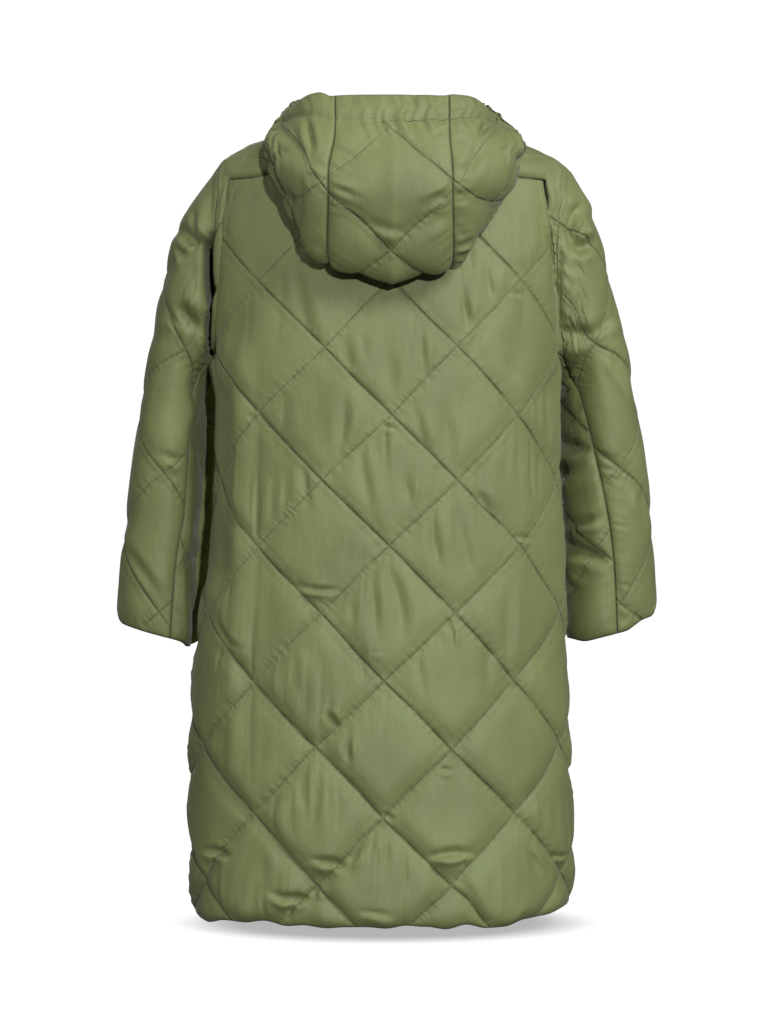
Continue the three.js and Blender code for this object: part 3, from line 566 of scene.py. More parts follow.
def make_hood(part):
    rows = HOOD_ROWS
    climb = np.linspace(0, 1, rows)
    if part == "center":
        cols = HOOD_CENTER_COLS
        way = np.linspace(-HOOD_SEAM, HOOD_SEAM, cols)
    else:
        cols = HOOD_SIDE_COLS
        way = np.linspace(HOOD_SEAM, 1, cols)
    ways, climbs = (v.ravel() for v in np.meshgrid(way, climb))
    side = "right" if part == "right" else "left"
    place = hood_point(side, np.abs(ways), climbs)
    place[:, 0] *= np.where(ways < 0, -1, 1) * (-1 if part == "right" else 1)
    place[:, 0] += hood_slide(np.abs(ways), climbs)
    grid = place.reshape(rows, cols, 3)
    around = lengths(grid, 1)
    s = around - around[:, [cols // 2]] if part == "center" else around + HOOD_SIDE_S
    if part == "right":
        s = -s
    line = hood_point("left", np.zeros(rows), climb)[:, None]
    t = np.broadcast_to(lengths(line, 0)[:, [0]], (rows, cols)).copy()
    t = t - t[-1, 0]
    name = "hood_center" if part == "center" else f"hood_side_{part}"
    outwards = np.zeros_like(grid)
    high = int(rows * 0.8)  # this row lies on the hood's outer side, which faces backwards
    outwards[high] = (0, 1, 0)
    if part != "center":
        outwards[high, cols // 4:] = 0
    return panel(name, grid, s, t, outwards)


# ---- relief: quilting, folds and the settled shell ------------------------------------------

def noise(x, y, seed):
    """Smooth noise between -1 and 1, one bump for each unit of x and y."""
    size = 97
    grid = np.random.default_rng(seed).uniform(-1, 1, (size, size))
    i, j = np.floor(x).astype(int), np.floor(y).astype(int)
    u, v = x - i, y - j
    u, v = u * u * (3 - 2 * u), v * v * (3 - 2 * v)
    i, j, i_next, j_next = i % size, j % size, (i + 1) % size, (j + 1) % size
    a, b, c, d = grid[i, j], grid[i_next, j], grid[i, j_next], grid[i_next, j_next]
    return mix(mix(a, b, u), mix(c, d, u), v)


def lattice(piece):
    """Distance from the two families of quilting lines, in mm, and each one's line number."""
    quilt = piece["quilt"]
    s, t = piece["s"] - quilt["s"], piece["t"] - quilt["t"]
    s = s + 2.5 * noise(s / 90 + 11, t / 90 + 5, quilt["seed"])
    t = t + 2.5 * noise(s / 90 + 31, t / 90 + 17, quilt["seed"] + 1)
    rising, falling = (s + t) / quilt["pitch"], (s - t) / quilt["pitch"]
    if "channel" in quilt:
        above = piece["t"] > -quilt["channel"]
        rising, falling = np.where(above, 0.5, rising), np.where(above, 0.5, falling)
    far = [np.abs(v - np.round(v)) * quilt["square"] for v in (rising, falling)]
    return rising, falling, far[0], far[1]


def puffed(far, half):
    """Section of a quilted square from its stitching to its middle, 0 to 1."""
    near = 1 - np.minimum(far / half, 1)
    return (1 - near ** 2.6) ** 0.75


def folds(piece, rows):
    """Creases as seen from behind or in front: x, z at each end, how far the
    middle bows to the left of its run, width and depth. A positive depth is a trough, with
    a soft roll of cloth below it and a slighter one above."""
    x, z = piece["grid"][..., 0], piece["grid"][..., 2]
    total = np.zeros_like(x)
    for x0, z0, x1, z1, bow, width, depth in rows:
        dx, dz = x1 - x0, z1 - z0
        long = math.hypot(dx, dz)
        along = ((x - x0) * dx + (z - z0) * dz) / long**2
        off = ((z - z0) * dx - (x - x0) * dz) / long - bow * 4 * along * (1 - along)
        fade = np.clip(1.15 - np.abs(along - 0.5) * 2, 0, 1)
        fade = fade * fade * (3 - 2 * fade)
        below = (-np.sign(dx) if abs(dx) > abs(dz) else np.sign(dz)) * (off / width)
        roll = 0.6 * bell(below - 2.1, 1.3) + 0.2 * bell(below + 2.2, 1.5)
        total -= depth * fade * (bell(off, width) - roll)
    return total


def finer(coarse):
    """Twice as many steps each way, with the new points on a smooth curve."""
    for axis in (0, 1):
        a = np.moveaxis(coarse, axis, 0)
        wide = np.concatenate([2 * a[:1] - a[1:2], a, 2 * a[-1:] - a[-2:-1]])
        middle = (9 * (wide[1:-2] + wide[2:-1]) - wide[:-3] - wide[3:]) / 16
        out = np.empty((2 * len(a) - 1, *a.shape[1:]))
        out[::2], out[1::2] = a, middle
        coarse = np.moveaxis(out, 0, axis)
    return coarse


NEIGHBOURS = (
    (np.s_[:, 1:], np.s_[:, :-1], 0), (np.s_[1:], np.s_[:-1], 1),
    (np.s_[1:, 1:], np.s_[:-1, :-1], 2), (np.s_[1:, :-1], np.s_[:-1, 1:], 2),
)


def averaged(values, reach):
    """A grid with everything smoothed away that is finer than about 2 * reach points."""
    for axis in (0, 1, 0, 1):
        wide = np.pad(values, [(reach + 1, reach) if a == axis else (0, 0) for a in (0, 1)], "edge")
        total = np.cumsum(wide, axis)
        n = values.shape[axis]
        first, last = np.arange(n), np.arange(n) + 2 * reach + 1
        values = (np.take(total, last, axis) - np.take(total, first, axis)) / (2 * reach + 1)
    return values


SPRING_STEP, WADDING_STEP = 0.42, 0.25  # how far one round goes towards rest


def settle(base, out, height, hold, ease, live, seed, moved=None, rounds=200, soft=0.055, reach=4):
    """The shell is cut a little larger than what it covers, and stitched down where `hold`
    is 1. Its spare cloth buckles over the wadding until no thread is stretched. `soft` is the
    cloth's stiffness, and the wadding keeps its height over about `reach` points."""
    s = lengths(base, 1)
    t = lengths(base, 0)
    if moved is None:
        rumpled = 3.0 * noise(s / 13, t / 38, seed) + 1.5 * noise(s / 22, t / 18, seed + 1)
        start = height + live * (1 - hold) * rumpled
        moved = out * start[..., None]
    x = base + moved
    formed = base + out * height[..., None]
    patchy = 0.75 + 0.7 * noise(s / 60, t / 80, seed + 2)
    springs = []
    for a, b, kind in NEIGHBOURS:
        spare = (ease[0], ease[1], (ease[0] + ease[1]) / 2)[kind]
        rest = np.linalg.norm(formed[a] - formed[b], axis=2) * (1 + spare * patchy[a])
        springs.append((a, b, rest, (live[a] & live[b]) * 0.5))
    loose = (1 - hold)[..., None]
    for _ in range(rounds):
        push = np.zeros_like(x)
        for a, b, rest, works in springs:
            d = x[a] - x[b]
            long = np.sqrt(np.einsum("ijk,ijk->ij", d, d)) + 1e-9
            d *= ((long - rest) / long * works)[..., None]
            push[a] -= d
            push[b] += d
        x += push * SPRING_STEP
        moved = x - base
        flat = moved.copy()
        flat[1:-1] += 0.5 * (moved[2:] + moved[:-2]) - moved[1:-1]
        flat[:, 1:-1] += 0.5 * (moved[:, 2:] + moved[:, :-2]) - moved[:, 1:-1]
        moved = mix(moved, flat, soft)
        lift = np.einsum("ijk,ijk->ij", moved, out)
        moved += out * (averaged(height - lift, reach) * WADDING_STEP)[..., None]
        x = base + moved * loose + out * (height * hold)[..., None]
    return x


PRESSED = 1.3  # shell and lining lie this far from the middle of the wall where pressed flat
THINNEST = 2.2  # and nowhere closer together than this


def relief(piece):
    """Settles the shell of a piece and returns its points."""
    quilt = piece["quilt"]
    rising, falling, far_a, far_b = lattice(piece)
    edge, z = piece["edge"], piece["grid"][..., 2]
    # high on the coat and the hood the wadding runs further out to the seams
    share, low, run = (0.65, -70, 80) if piece["name"].startswith("hood") else (0.75, -190, 60)
    rim = mix(1 - np.exp(-edge / 6), 1, share * past(z, low, run))
    puff = puffed(far_a, quilt["half"]) * puffed(far_b, quilt["half"])
    climb = (rising - np.floor(rising) - falling + np.floor(falling) + 1) / 2
    puff *= 1.3 - 0.6 * climb  # the wadding sags, so each square is fuller below
    macro = folds(piece, quilt["folds"]) * np.clip(edge / 12, 0, 1)
    heights, fullness = np.array(quilt["full"]).T
    level = np.interp(z, heights, fullness)
    near = np.minimum(far_a, far_b)
    deeper = pinched(quilt, rising, falling)
    if "channel" in quilt:
        # above the hood's stitched channel its rim is padded evenly
        seam = np.abs(piece["t"] + quilt["channel"])
        puff *= puffed(seam, 20)
        near = np.minimum(near, seam)
        deeper = np.where(piece["t"] > -quilt["channel"], 1.5, deeper)
        deeper = deeper - 1.8 * bell(seam, 4)
    height = PRESSED + (quilt["puff"] * level * puff + 1.0 + deeper) * rim + macro
    height += drape(piece, near, climb) * rim
    # the stitching gives a little, the seams hold fast
    hold = np.maximum(bell(near, 3.2) * 0.9, bell(edge, 2.5))
    hold[~piece["points"]] = 1
    # settled on every second point first, which moves the large folds further in less time
    every = np.s_[::2, ::2]
    seed = quilt["seed"] + len(piece["name"])
    x = settle(piece["grid"][every], piece["out"][every], height[every], hold[every],
               quilt["ease"], piece["points"][every], seed)
    sharp = (height - finer(height[every]))[..., None] * piece["out"]
    moved = finer(x - piece["grid"][every]) + sharp
    x = settle(piece["grid"], piece["out"], height, hold, quilt["ease"], piece["points"], seed,
               moved, rounds=50, soft=0.04, reach=6)
    gathers = seam_gathers(piece) + stitch_gathers(piece, far_a, far_b, rising, falling)
    gathers = gathers * np.clip(edge / 8, 0, 1)
    return x + piece["out"] * (gathers + 0.5 * macro * (1 - hold))[..., None]


def pinched(quilt, rising, falling):
    """The lines that fall to the right are pulled in harder, unevenly along their run, and the
    cloth above them rolls over into the groove."""
    off = (falling - np.round(falling)) * quilt["square"]
    uneven = noise(rising * quilt["square"] / 45, np.round(falling) * 7.3, quilt["seed"] + 60)
    hard = np.clip(0.55 + 0.9 * uneven, 0, 1.3)
    return hard * (1.3 * bell(off + 11, 7) - 1.1 * bell(off, 3.5))


def drape(piece, near, climb):
    """Soft creases that hang from the upper edges of the squares, uneven in place and depth."""
    s, t, seed = piece["s"], piece["t"], piece["quilt"]["seed"] + 50
    bent = s + 10 * noise(s / 70, t / 95, seed)
    field = noise(bent / 21, t / 120, seed + 1)
    where = np.clip(noise(s / 50 + 7, t / 75, seed + 2) + 0.3, 0, 1)
    crease = bell(field, 0.24)
    swell = noise(bent / 30, t / 90, seed + 3)
    upper = np.clip(climb * 2.2 - 0.5, 0.15, 1)
    return (1.1 * swell - 2.8 * crease * where * upper) * (1 - bell(near, 8))


GATHER = 5.5  # from one gather at a seam to the next


def gathered(far, reach):
    """Gathers are nothing at a seam, full `reach` away from it and fade beyond."""
    return far / reach * np.exp(1 - far / reach)


def seam_gathers(piece):
    """Gathers square to the seams, hems and edges of a piece."""
    quilt = piece["quilt"]
    edge, s, t, seed = piece["edge"], piece["s"], piece["t"], quilt["seed"] + 70
    if "channel" in quilt:
        edge = np.minimum(edge, np.abs(t + quilt["channel"]) + 1)
    down, across = (np.abs(np.gradient(edge, axis=a)) + 1e-6 for a in (0, 1))
    upright = noise((t + 0.4 * edge) / GATHER, s / 45, seed) * across
    level = noise((s + 0.4 * edge) / GATHER, t / 45, seed + 1) * down
    strength = np.clip(0.5 + noise(t / 50, s / 50, seed + 2), 0, 1.4)
    height, reach = (3.6, 9) if piece["name"].startswith("hood") else (1.8, 8)
    return height * (upright + level) / (down + across) * strength * gathered(edge, reach)


def stitch_gathers(piece, far_a, far_b, rising, falling):
    """Short gathers square to the stitching, finer than the settled cloth."""
    quilt = piece["quilt"]
    total = 0
    for far, along in ((far_a, falling), (far_b, rising)):
        run = along * quilt["square"]
        wave = noise(run / 5, np.round(far / 400), quilt["seed"] + 7)
        strength = 0.5 + 0.5 * noise(run / 60, far / 90, quilt["seed"] + 8)
        total = total + quilt["pucker"] * wave * strength * gathered(far, 5)
    return total


# ---- from settled grids to closed meshes ------------------------------------------------------

def outward_faces(corners, turn):
    return corners[:, ::-1] if turn > 0 else corners


def placed(name, data):
    """A new object in the scene that holds a mesh, a light or a camera."""
    obj = bpy.data.objects.new(name, data)
    bpy.context.scene.collection.objects.link(obj)
    return obj


def make_mesh(name, points, faces, marks=None, flat=None):
    """A smooth mesh from points in mm and lists of faces with the same number of corners."""
    mesh = bpy.data.meshes.new(name)
    mesh.vertices.add(len(points))
    mesh.vertices.foreach_set("co", (points / 1000).astype(np.float32).ravel())
    counts = np.concatenate([np.full(len(f), f.shape[1]) for f in faces])
    corners = np.concatenate([f.ravel() for f in faces]).astype(np.int32)
    mesh.loops.add(len(corners))
    mesh.loops.foreach_set("vertex_index", corners)
    mesh.polygons.add(len(counts))
    mesh.polygons.foreach_set("loop_start", (np.cumsum(counts) - counts).astype(np.int32))
    mesh.update(calc_edges=True)
    mesh.shade_smooth()
    if flat is not None:
        layer = mesh.uv_layers.new(name="cloth")
        layer.data.foreach_set("uv", (flat[corners] / 1000).astype(np.float32).ravel())
    if marks is not None:
        layer = mesh.attributes.new("quilt", "FLOAT_VECTOR", "POINT")
        layer.data.foreach_set("vector", marks.astype(np.float32).ravel())
    return placed(name, mesh)


def numbered(mask):
    """Numbers the places where `mask` is true, row by row, and gives the others -1."""
    index = np.full(mask.shape, -1)
    index[mask] = np.arange(mask.sum())
    return index


def grid_faces(index, cells):
    corners = np.stack([index[:-1, :-1], index[:-1, 1:], index[1:, 1:], index[1:, :-1]], -1)
    return corners[cells]


def closing_faces(cells, fine_index, coarse_index):
    """Triangles that join the shell's edge to every second point of it on the lining, turned
    like the shell's own cells."""
    triangles = []
    rows, cols = cells.shape
    for dr, dc, a, b in ((-1, 0, (0, 0), (0, 1)), (0, 1, (0, 1), (1, 1)),
                         (1, 0, (1, 1), (1, 0)), (0, -1, (1, 0), (0, 0))):
        shifted = np.pad(cells, 1)[1 + dr:rows + 1 + dr, 1 + dc:cols + 1 + dc]
        for r, c in zip(*np.nonzero(cells & ~shifted)):
            start, end = (r + a[0], c + a[1]), (r + b[0], c + b[1])
            middle = fine_index[start[0] + end[0], start[1] + end[1]]
            one, two = fine_index[2 * start[0], 2 * start[1]], fine_index[2 * end[0], 2 * end[1]]
            low_one, low_two = coarse_index[start], coarse_index[end]
            triangles += [(middle, one, low_one), (two, middle, low_two),
                          (middle, low_one, low_two)]
    return np.array(triangles)


RIM_BACK = 0.06  # share of the way to the next points inside


def rim_in(piece, shell):
    """Draws the very edge a little back into the cloth, which leaves a fine gap at each seam."""
    inner = (piece["points"] & (piece["edge"] > 0)).astype(float)
    total, count = np.zeros_like(shell), np.zeros(inner.shape)
    wide, on = np.pad(shell, ((1, 1), (1, 1), (0, 0))), np.pad(inner, 1)
    rows, cols = inner.shape
    for dr in (0, 1, 2):
        for dc in (0, 1, 2):
            w = on[dr:dr + rows, dc:dc + cols]
            total += wide[dr:dr + rows, dc:dc + cols] * w[..., None]
            count += w
    rim = piece["points"] & (piece["edge"] <= 0) & (count > 0)
    shell[rim] = mix(shell[rim], total[rim] / count[rim][:, None], RIM_BACK)


def quilted_piece(piece, shell):
    """Shell and lining as one closed wall that is pressed flat along its edges."""
    rim_in(piece, shell)
    coarse = piece["points"][::2, ::2]
    fine_index = numbered(piece["points"])
    coarse_index = numbered(coarse)
    base, out = piece["grid"][::2, ::2], piece["out"][::2, ::2]
    rising, falling, far_a, far_b = lattice(piece)
    quilt = piece["quilt"]
    puff = (puffed(far_a, quilt["half"]) * puffed(far_b, quilt["half"]))[::2, ::2]
    rim = 1 - np.exp(-piece["edge"][::2, ::2] / 9)
    lining = base - out * (PRESSED + 2.6 * puff * rim)[..., None]
    keep = np.einsum("ijk,ijk->ij", shell[::2, ::2] - lining, out)
    lining -= out * np.maximum(0, THINNEST - keep)[..., None]
    points = np.concatenate([shell[piece["points"]], lining[coarse]])
    count = piece["points"].sum()
    coarse_index = np.where(coarse, coarse_index + count, -1)
    outer = grid_faces(fine_index, piece["fine"])
    inner = grid_faces(coarse_index, piece["cells"])[:, ::-1]
    sides = closing_faces(piece["cells"], fine_index, coarse_index)
    faces = [outward_faces(f, piece["turn"]) for f in (outer, inner, sides)]
    flat = stack(piece["s"], piece["t"])
    flat = np.concatenate([flat[piece["points"]], flat[::2, ::2][coarse]])
    seam = piece["edge"]
    if "channel" in quilt:
        seam = np.minimum(seam, np.abs(piece["t"] + quilt["channel"]))
    marks = stack(rising, falling, seam)
    marks = np.concatenate([marks[piece["points"]], marks[::2, ::2][coarse]])
    return make_mesh(piece["name"] + "_quilted", points, faces, marks, flat)


def cut(piece):
    """Width and length of the cloth a piece is cut from, and the area of the cut, in metres.
    The area is that of the flat cells, and never more than the width times the length."""
    grid, on = piece["grid"], piece["points"]
    width = np.mean([np.ptp(row[ok]) for row, ok in zip(piece["s"], on) if ok.any()]) / 1000
    length = np.mean(lengths(grid, 0)[-1]) / 1000
    d1, d2 = grid[1:, 1:] - grid[:-1, :-1], grid[1:, :-1] - grid[:-1, 1:]
    area = 0.5 * np.linalg.norm(np.cross(d1, d2), axis=2)[piece["fine"]].sum() / 1e6
    return width, length, min(area, width * length)


STITCHES_END = 5  # the stitching stops this far from the edge of a piece
THREAD_LIFT = 0.25


def stitch_lines(piece, shell):
    """Points of the quilting lines on the settled shell, one for each row that a line crosses."""
    rising, falling, _, _ = lattice(piece)
    lines = []
    raised = shell + THREAD_LIFT * piece["out"]
    quilt = piece["quilt"]
    if "channel" in quilt:
        r = int(np.argmin(np.abs(piece["t"][:, 0] + quilt["channel"])))
        lines.append(raised[r, 2:-2])
    for along in (rising, falling):
        low, high = along[piece["points"]].min(), along[piece["points"]].max()
        for k in range(math.ceil(low), math.floor(high) + 1):
            run = []
            for r in range(len(raised)):
                ok = np.nonzero(piece["points"][r])[0]
                values = along[r, ok]
                c = np.nonzero((values[:-1] - k) * (values[1:] - k) <= 0)[0]
                if not len(c) or piece["edge"][r, ok[c[0]]] < STITCHES_END:
                    if len(run) > 3:
                        lines.append(np.array(run))
                    run = []
                    continue
                c0, c1 = ok[c[0]], ok[c[0] + 1]
                w = (k - along[r, c0]) / (along[r, c1] - along[r, c0] + 1e-12)
                run.append(mix(raised[r, c0], raised[r, c1], w))
            if len(run) > 3:
                lines.append(np.array(run))
    return lines


def path_mesh(name, lines):
    """Lines of points as one object with edges only."""
    points, edges, start = [], [], 0
    for line in lines:
        points.append(line)
        edges += [(start + k, start + k + 1) for k in range(len(line) - 1)]
        start += len(line)
    mesh = bpy.data.meshes.new(name)
    mesh.from_pydata((np.concatenate(points) / 1000).tolist(), edges, [])
    return placed(name, mesh)


# ---- node helpers -----------------------------------------------------------------------------

def add(tree, kind, inputs=None, **settings):
    """Adds a node. `inputs` gives each socket a value, or the output of another node as
    (node, output). `settings` are the node's own."""
    node = tree.nodes.new(kind)
    for key, value in settings.items():
        setattr(node, key, value)
    for socket, value in (inputs or {}).items():
        if isinstance(value, tuple) and isinstance(value[0], bpy.types.Node):
            tree.links.new(value[0].outputs[value[1]], node.inputs[socket])
        else:
            node.inputs[socket].default_value = value
    return node


def shade(hex_colour):
    """The linear colour of an sRGB hex colour."""
    parts = [int(hex_colour[k:k + 2], 16) / 255 for k in (1, 3, 5)]
    return (*(c / 12.92 if c <= 0.04045 else ((c + 0.055) / 1.055) ** 2.4 for c in parts), 1)


def repeat(name, path, unit, pitch, material, smallest=1.0, largest=1.0):
    """Geometry Nodes that set `unit` along a path, one every `pitch` metres, as one real mesh."""
    tree = bpy.data.node_groups.new(name, "GeometryNodeTree")
    tree.interface.new_socket("Geometry", in_out="INPUT", socket_type="NodeSocketGeometry")
    tree.interface.new_socket("Geometry", in_out="OUTPUT", socket_type="NodeSocketGeometry")
    spacing = tree.interface.new_socket("Pitch", in_out="INPUT", socket_type="NodeSocketFloat")
    shape = tree.interface.new_socket("Unit", in_out="INPUT", socket_type="NodeSocketObject")
    start = add(tree, "NodeGroupInput")
    curve = add(tree, "GeometryNodeMeshToCurve", {"Mesh": (start, "Geometry")})
    even = add(tree, "GeometryNodeResampleCurve", mode="LENGTH")
    tree.links.new(curve.outputs["Curve"], even.inputs["Curve"])
    tree.links.new(start.outputs["Pitch"], even.inputs["Length"])
    info = add(tree, "GeometryNodeObjectInfo", {"Object": (start, "Unit")})
    tangent = add(tree, "GeometryNodeInputTangent")
    aim = add(tree, "FunctionNodeAlignRotationToVector", {"Vector": (tangent, "Tangent")}, axis="Z")
    vary = add(tree, "FunctionNodeRandomValue", {2: smallest, 3: largest, "Seed": 4},
               data_type="FLOAT")
    place = add(tree, "GeometryNodeInstanceOnPoints", {
        "Points": (even, "Curve"), "Instance": (info, "Geometry"), "Rotation": (aim, "Rotation"),
        "Scale": (vary, 1)})
    real = add(tree, "GeometryNodeRealizeInstances", {"Geometry": (place, "Instances")})
    paint = add(tree, "GeometryNodeSetMaterial", {
        "Geometry": (real, "Geometry"), "Material": material})
    end = add(tree, "NodeGroupOutput")
    tree.links.new(paint.outputs["Geometry"], end.inputs["Geometry"])
    modifier = path.modifiers.new(name, "NODES")
    modifier.node_group = tree
    modifier[spacing.identifier] = pitch
    modifier[shape.identifier] = unit
    evaluated = path.evaluated_get(bpy.context.evaluated_depsgraph_get())
    mesh = bpy.data.meshes.new_from_object(evaluated)
    path.modifiers.clear()
    mesh.name = name
    bpy.data.objects.remove(path)
    bpy.data.objects.remove(unit)
    return placed(name, mesh)


def lofted(rings):
    """A small closed solid through rings that all have the same number of points."""
    n = len(rings[0])
    quads = np.array([(r * n + k, r * n + (k + 1) % n, (r + 1) * n + (k + 1) % n, (r + 1) * n + k)
                      for r in range(len(rings) - 1) for k in range(n)])
    top = n * (len(rings) - 1)
    ends = np.array([range(n)[::-1], range(top, top + n)])
    return make_mesh("unit", np.concatenate(rings), [quads, ends])


def stitch_unit(length, radius):
    """One stitch of thread: a short spindle lying along Z."""
    angles = np.radians(np.arange(0, 360, 72))
    return lofted([
        stack(radius * w * np.cos(angles), radius * w * np.sin(angles), z * length)
        for z, w in ((-0.5, 0.35), (-0.3, 0.95), (0.3, 0.95), (0.5, 0.35))
    ])


TOOTH = {"pitch": 2.5, "wide": 3.0, "deep": 1.5, "high": 1.05, "reach": 0.9}


def tooth_unit():
    """One zip tooth: a small block with its corners taken off."""
    wide, deep, high = (TOOTH[k] / 2 for k in ("wide", "deep", "high"))
    ring = np.array([
        (wide, deep * 0.4), (wide * 0.8, deep), (-wide * 0.8, deep), (-wide, deep * 0.4),
        (-wide, -deep * 0.4), (-wide * 0.8, -deep), (wide * 0.8, -deep), (wide, -deep * 0.4),
    ])
    return lofted([stack(*(ring * w).T, z * high) for z, w in ((-1, 0.9), (0, 1), (1, 0.9))])


# ---- materials -----------------------------------------------------------------------------------

def new_material(name, **constants):
    """A material, its tree and its shader, with constants set on the shader's own sockets."""
    material = bpy.data.materials.new(name)
    material.use_nodes = True
    shader = material.node_tree.nodes["Principled BSDF"]
    for socket, value in constants.items():
        shader.inputs[socket.replace("_", " ")].default_value = value
    return material, material.node_tree, shader


# scales of the patterns: a blotch in 111 mm of cloth, a crinkle in 7.7 mm and a thread in 0.35 mm
BLOTCHES, CRINKLES, WEAVE = 9.0, 130.0, 900.0
# a rib in 0.79 mm of the tape, and a mottle in 1.1 mm of the teeth and the metal
RIBS, MOTTLE = 400.0, 900.0


def quilting_marks(tree, lines, this, other, square, depth, strength):
    """How near a point is to one family of quilting lines: the fold of the stitched groove,
    and the small gathers that run square to it. `lines` holds both families' line numbers,
    which are `square` mm apart."""
    next_line = 3.7  # moves the patterns on, so that no two lines are alike
    whole = add(tree, "ShaderNodeMath", {0: (lines, this)}, operation="ROUND")
    off = add(tree, "ShaderNodeMath", {0: (lines, this), 1: (whole, 0)}, operation="SUBTRACT")
    far = add(tree, "ShaderNodeMath", {0: (off, 0)}, operation="ABSOLUTE")
    groove = add(tree, "ShaderNodeMapRange", {
        "Value": (far, 0), "From Min": 0.2 / square, "From Max": depth * 1.3 / square,
        "To Min": 1.0, "To Max": 0.0}, interpolation_type="SMOOTHSTEP")
    place = add(tree, "ShaderNodeCombineXYZ", {"X": (lines, other), "Y": (off, 0), "Z": (whole, 0)})
    drawn = add(tree, "ShaderNodeVectorMath", {0: (place, 0), 1: (square / 40, 0, next_line)},
                operation="MULTIPLY")
    pull = add(tree, "ShaderNodeTexNoise", {"Vector": (drawn, 0), "Scale": 1.0, "Detail": 2.0})
    pull = add(tree, "ShaderNodeMapRange", {
        "Value": (pull, "Fac"), "From Min": 0.35, "From Max": 0.6, "To Min": 0.25, "To Max": 1.0})
    groove = add(tree, "ShaderNodeMath", {0: (groove, "Result"), 1: (pull, "Result")},
                 operation="MULTIPLY")
    groove = add(tree, "ShaderNodeMath", {0: (groove, 0), 1: strength}, operation="MULTIPLY")
    stretched = add(tree, "ShaderNodeVectorMath", {
        0: (place, 0), 1: (square / 6.5, square / 26, next_line)}, operation="MULTIPLY")
    gather = add(tree, "ShaderNodeTexNoise", {
        "Vector": (stretched, 0), "Scale": 1.0, "Detail": 2.0})
    fade = add(tree, "ShaderNodeMapRange", {
        "Value": (far, 0), "From Min": 0.0, "From Max": 13 / square,
        "To Min": 1.0, "To Max": 0.0}, interpolation_type="SMOOTHERSTEP")
    gathers = add(tree, "ShaderNodeMath", {0: (gather, "Fac"), 1: (fade, 0)}, operation="MULTIPLY")
    return groove, gathers


def coated_nylon(name, dark, light, painted_shade_colour, square):
    """Fine nylon taffeta with a light coating: an even dyed colour, a soft satin shine that
    breaks on small upright crinkles, and stitched grooves with fine gathers. The colour in the
    grooves and along the seams is darkened with painted shade. The threads of the weave are
    too fine to show one by one, so they are drawn 0.35 mm apart."""
    material, tree, shader = new_material(
        name, Roughness=0.56, Specular_IOR_Level=0.38, Sheen_Weight=0.12, Sheen_Roughness=0.4)
    cloth = add(tree, "ShaderNodeUVMap", uv_map="cloth")
    quilt = add(tree, "ShaderNodeAttribute", attribute_name="quilt")
    lines = add(tree, "ShaderNodeSeparateXYZ", {0: (quilt, "Vector")})
    rising = quilting_marks(tree, lines, "X", "Y", square, 1.0, 0.6)
    falling = quilting_marks(tree, lines, "Y", "X", square, 2.0, 1.0)
    seam = add(tree, "ShaderNodeMapRange", {
        "Value": (lines, "Z"), "From Min": 0.2, "From Max": 1.5, "To Min": 0.42, "To Max": 0.0},
        interpolation_type="SMOOTHSTEP")
    groove = add(tree, "ShaderNodeMath", {0: (rising[0], 0), 1: (falling[0], 0)},
                 operation="MAXIMUM")
    groove = add(tree, "ShaderNodeMath", {0: (groove, 0), 1: (seam, "Result")},
                 operation="MAXIMUM")
    gathers = add(tree, "ShaderNodeMath", {0: (rising[1], 0), 1: (falling[1], 0)},
                  operation="ADD")
    blotch = add(tree, "ShaderNodeTexNoise", {
        "Vector": (cloth, "UV"), "Scale": BLOTCHES, "Detail": 3.0})
    upright = add(tree, "ShaderNodeMapping", {"Vector": (cloth, "UV"), "Scale": (1.0, 0.36, 1.0)})
    crinkle = add(tree, "ShaderNodeTexNoise", {
        "Vector": (upright, 0), "Scale": CRINKLES, "Detail": 4.0, "Roughness": 0.6,
        "Distortion": 0.7})
    weave = add(tree, "ShaderNodeTexWave", {"Vector": (cloth, "UV"), "Scale": WEAVE})
    tone = add(tree, "ShaderNodeMapRange", {
        "Value": (blotch, "Fac"), "From Min": 0.35, "From Max": 0.65})
    colour = add(tree, "ShaderNodeMix", {"Factor": (tone, 0), 6: shade(dark), 7: shade(light)},
                 data_type="RGBA")
    # painted shade: near the quilting lines and the seams the colour is mixed towards a dark green,
    # which stands in for the shade in the grooves
    shadow = add(tree, "ShaderNodeMath", {0: (groove, 0), 1: 0.6}, operation="MULTIPLY")
    stitched = add(tree, "ShaderNodeMix", {
        "Factor": (shadow, 0), 6: (colour, 2), 7: shade(painted_shade_colour)}, data_type="RGBA")
    fine = add(tree, "ShaderNodeBump", {
        "Height": (weave, "Fac"), "Strength": 0.1, "Distance": 0.0002})
    soft = add(tree, "ShaderNodeBump", {
        "Height": (crinkle, "Fac"), "Normal": (fine, 0), "Strength": 0.5, "Distance": 0.0016})
    pinched = add(tree, "ShaderNodeBump", {
        "Height": (gathers, 0), "Normal": (soft, 0), "Strength": 0.9, "Distance": 0.0026})
    folded = add(tree, "ShaderNodeBump", {
        "Height": (groove, 0), "Normal": (pinched, 0), "Strength": 1.0, "Distance": 0.0012},
        invert=True)
    tree.links.new(stitched.outputs[2], shader.inputs["Base Color"])
    tree.links.new(folded.outputs["Normal"], shader.inputs["Normal"])
    return material


def polyester_thread(name, colour):
    """Twisted polyester sewing thread: smooth, and a little shinier than the cloth."""
    return new_material(name, Base_Color=shade(colour), Roughness=0.5, Sheen_Weight=0.3)[0]


def zip_tape_weave(name, colour):
    """Woven polyester tape: matt, with fine ribs across it."""
    material, tree, shader = new_material(
        name, Base_Color=shade(colour), Roughness=0.85, Sheen_Weight=0.4)
    place = add(tree, "ShaderNodeTexCoord")
    ribs = add(tree, "ShaderNodeTexWave", {"Vector": (place, "Object"), "Scale": RIBS},
               bands_direction="Z")
    bump_map = add(tree, "ShaderNodeBump", {
        "Height": (ribs, "Fac"), "Strength": 0.4, "Distance": 0.0003})
    tree.links.new(bump_map.outputs["Normal"], shader.inputs["Normal"])
    return material


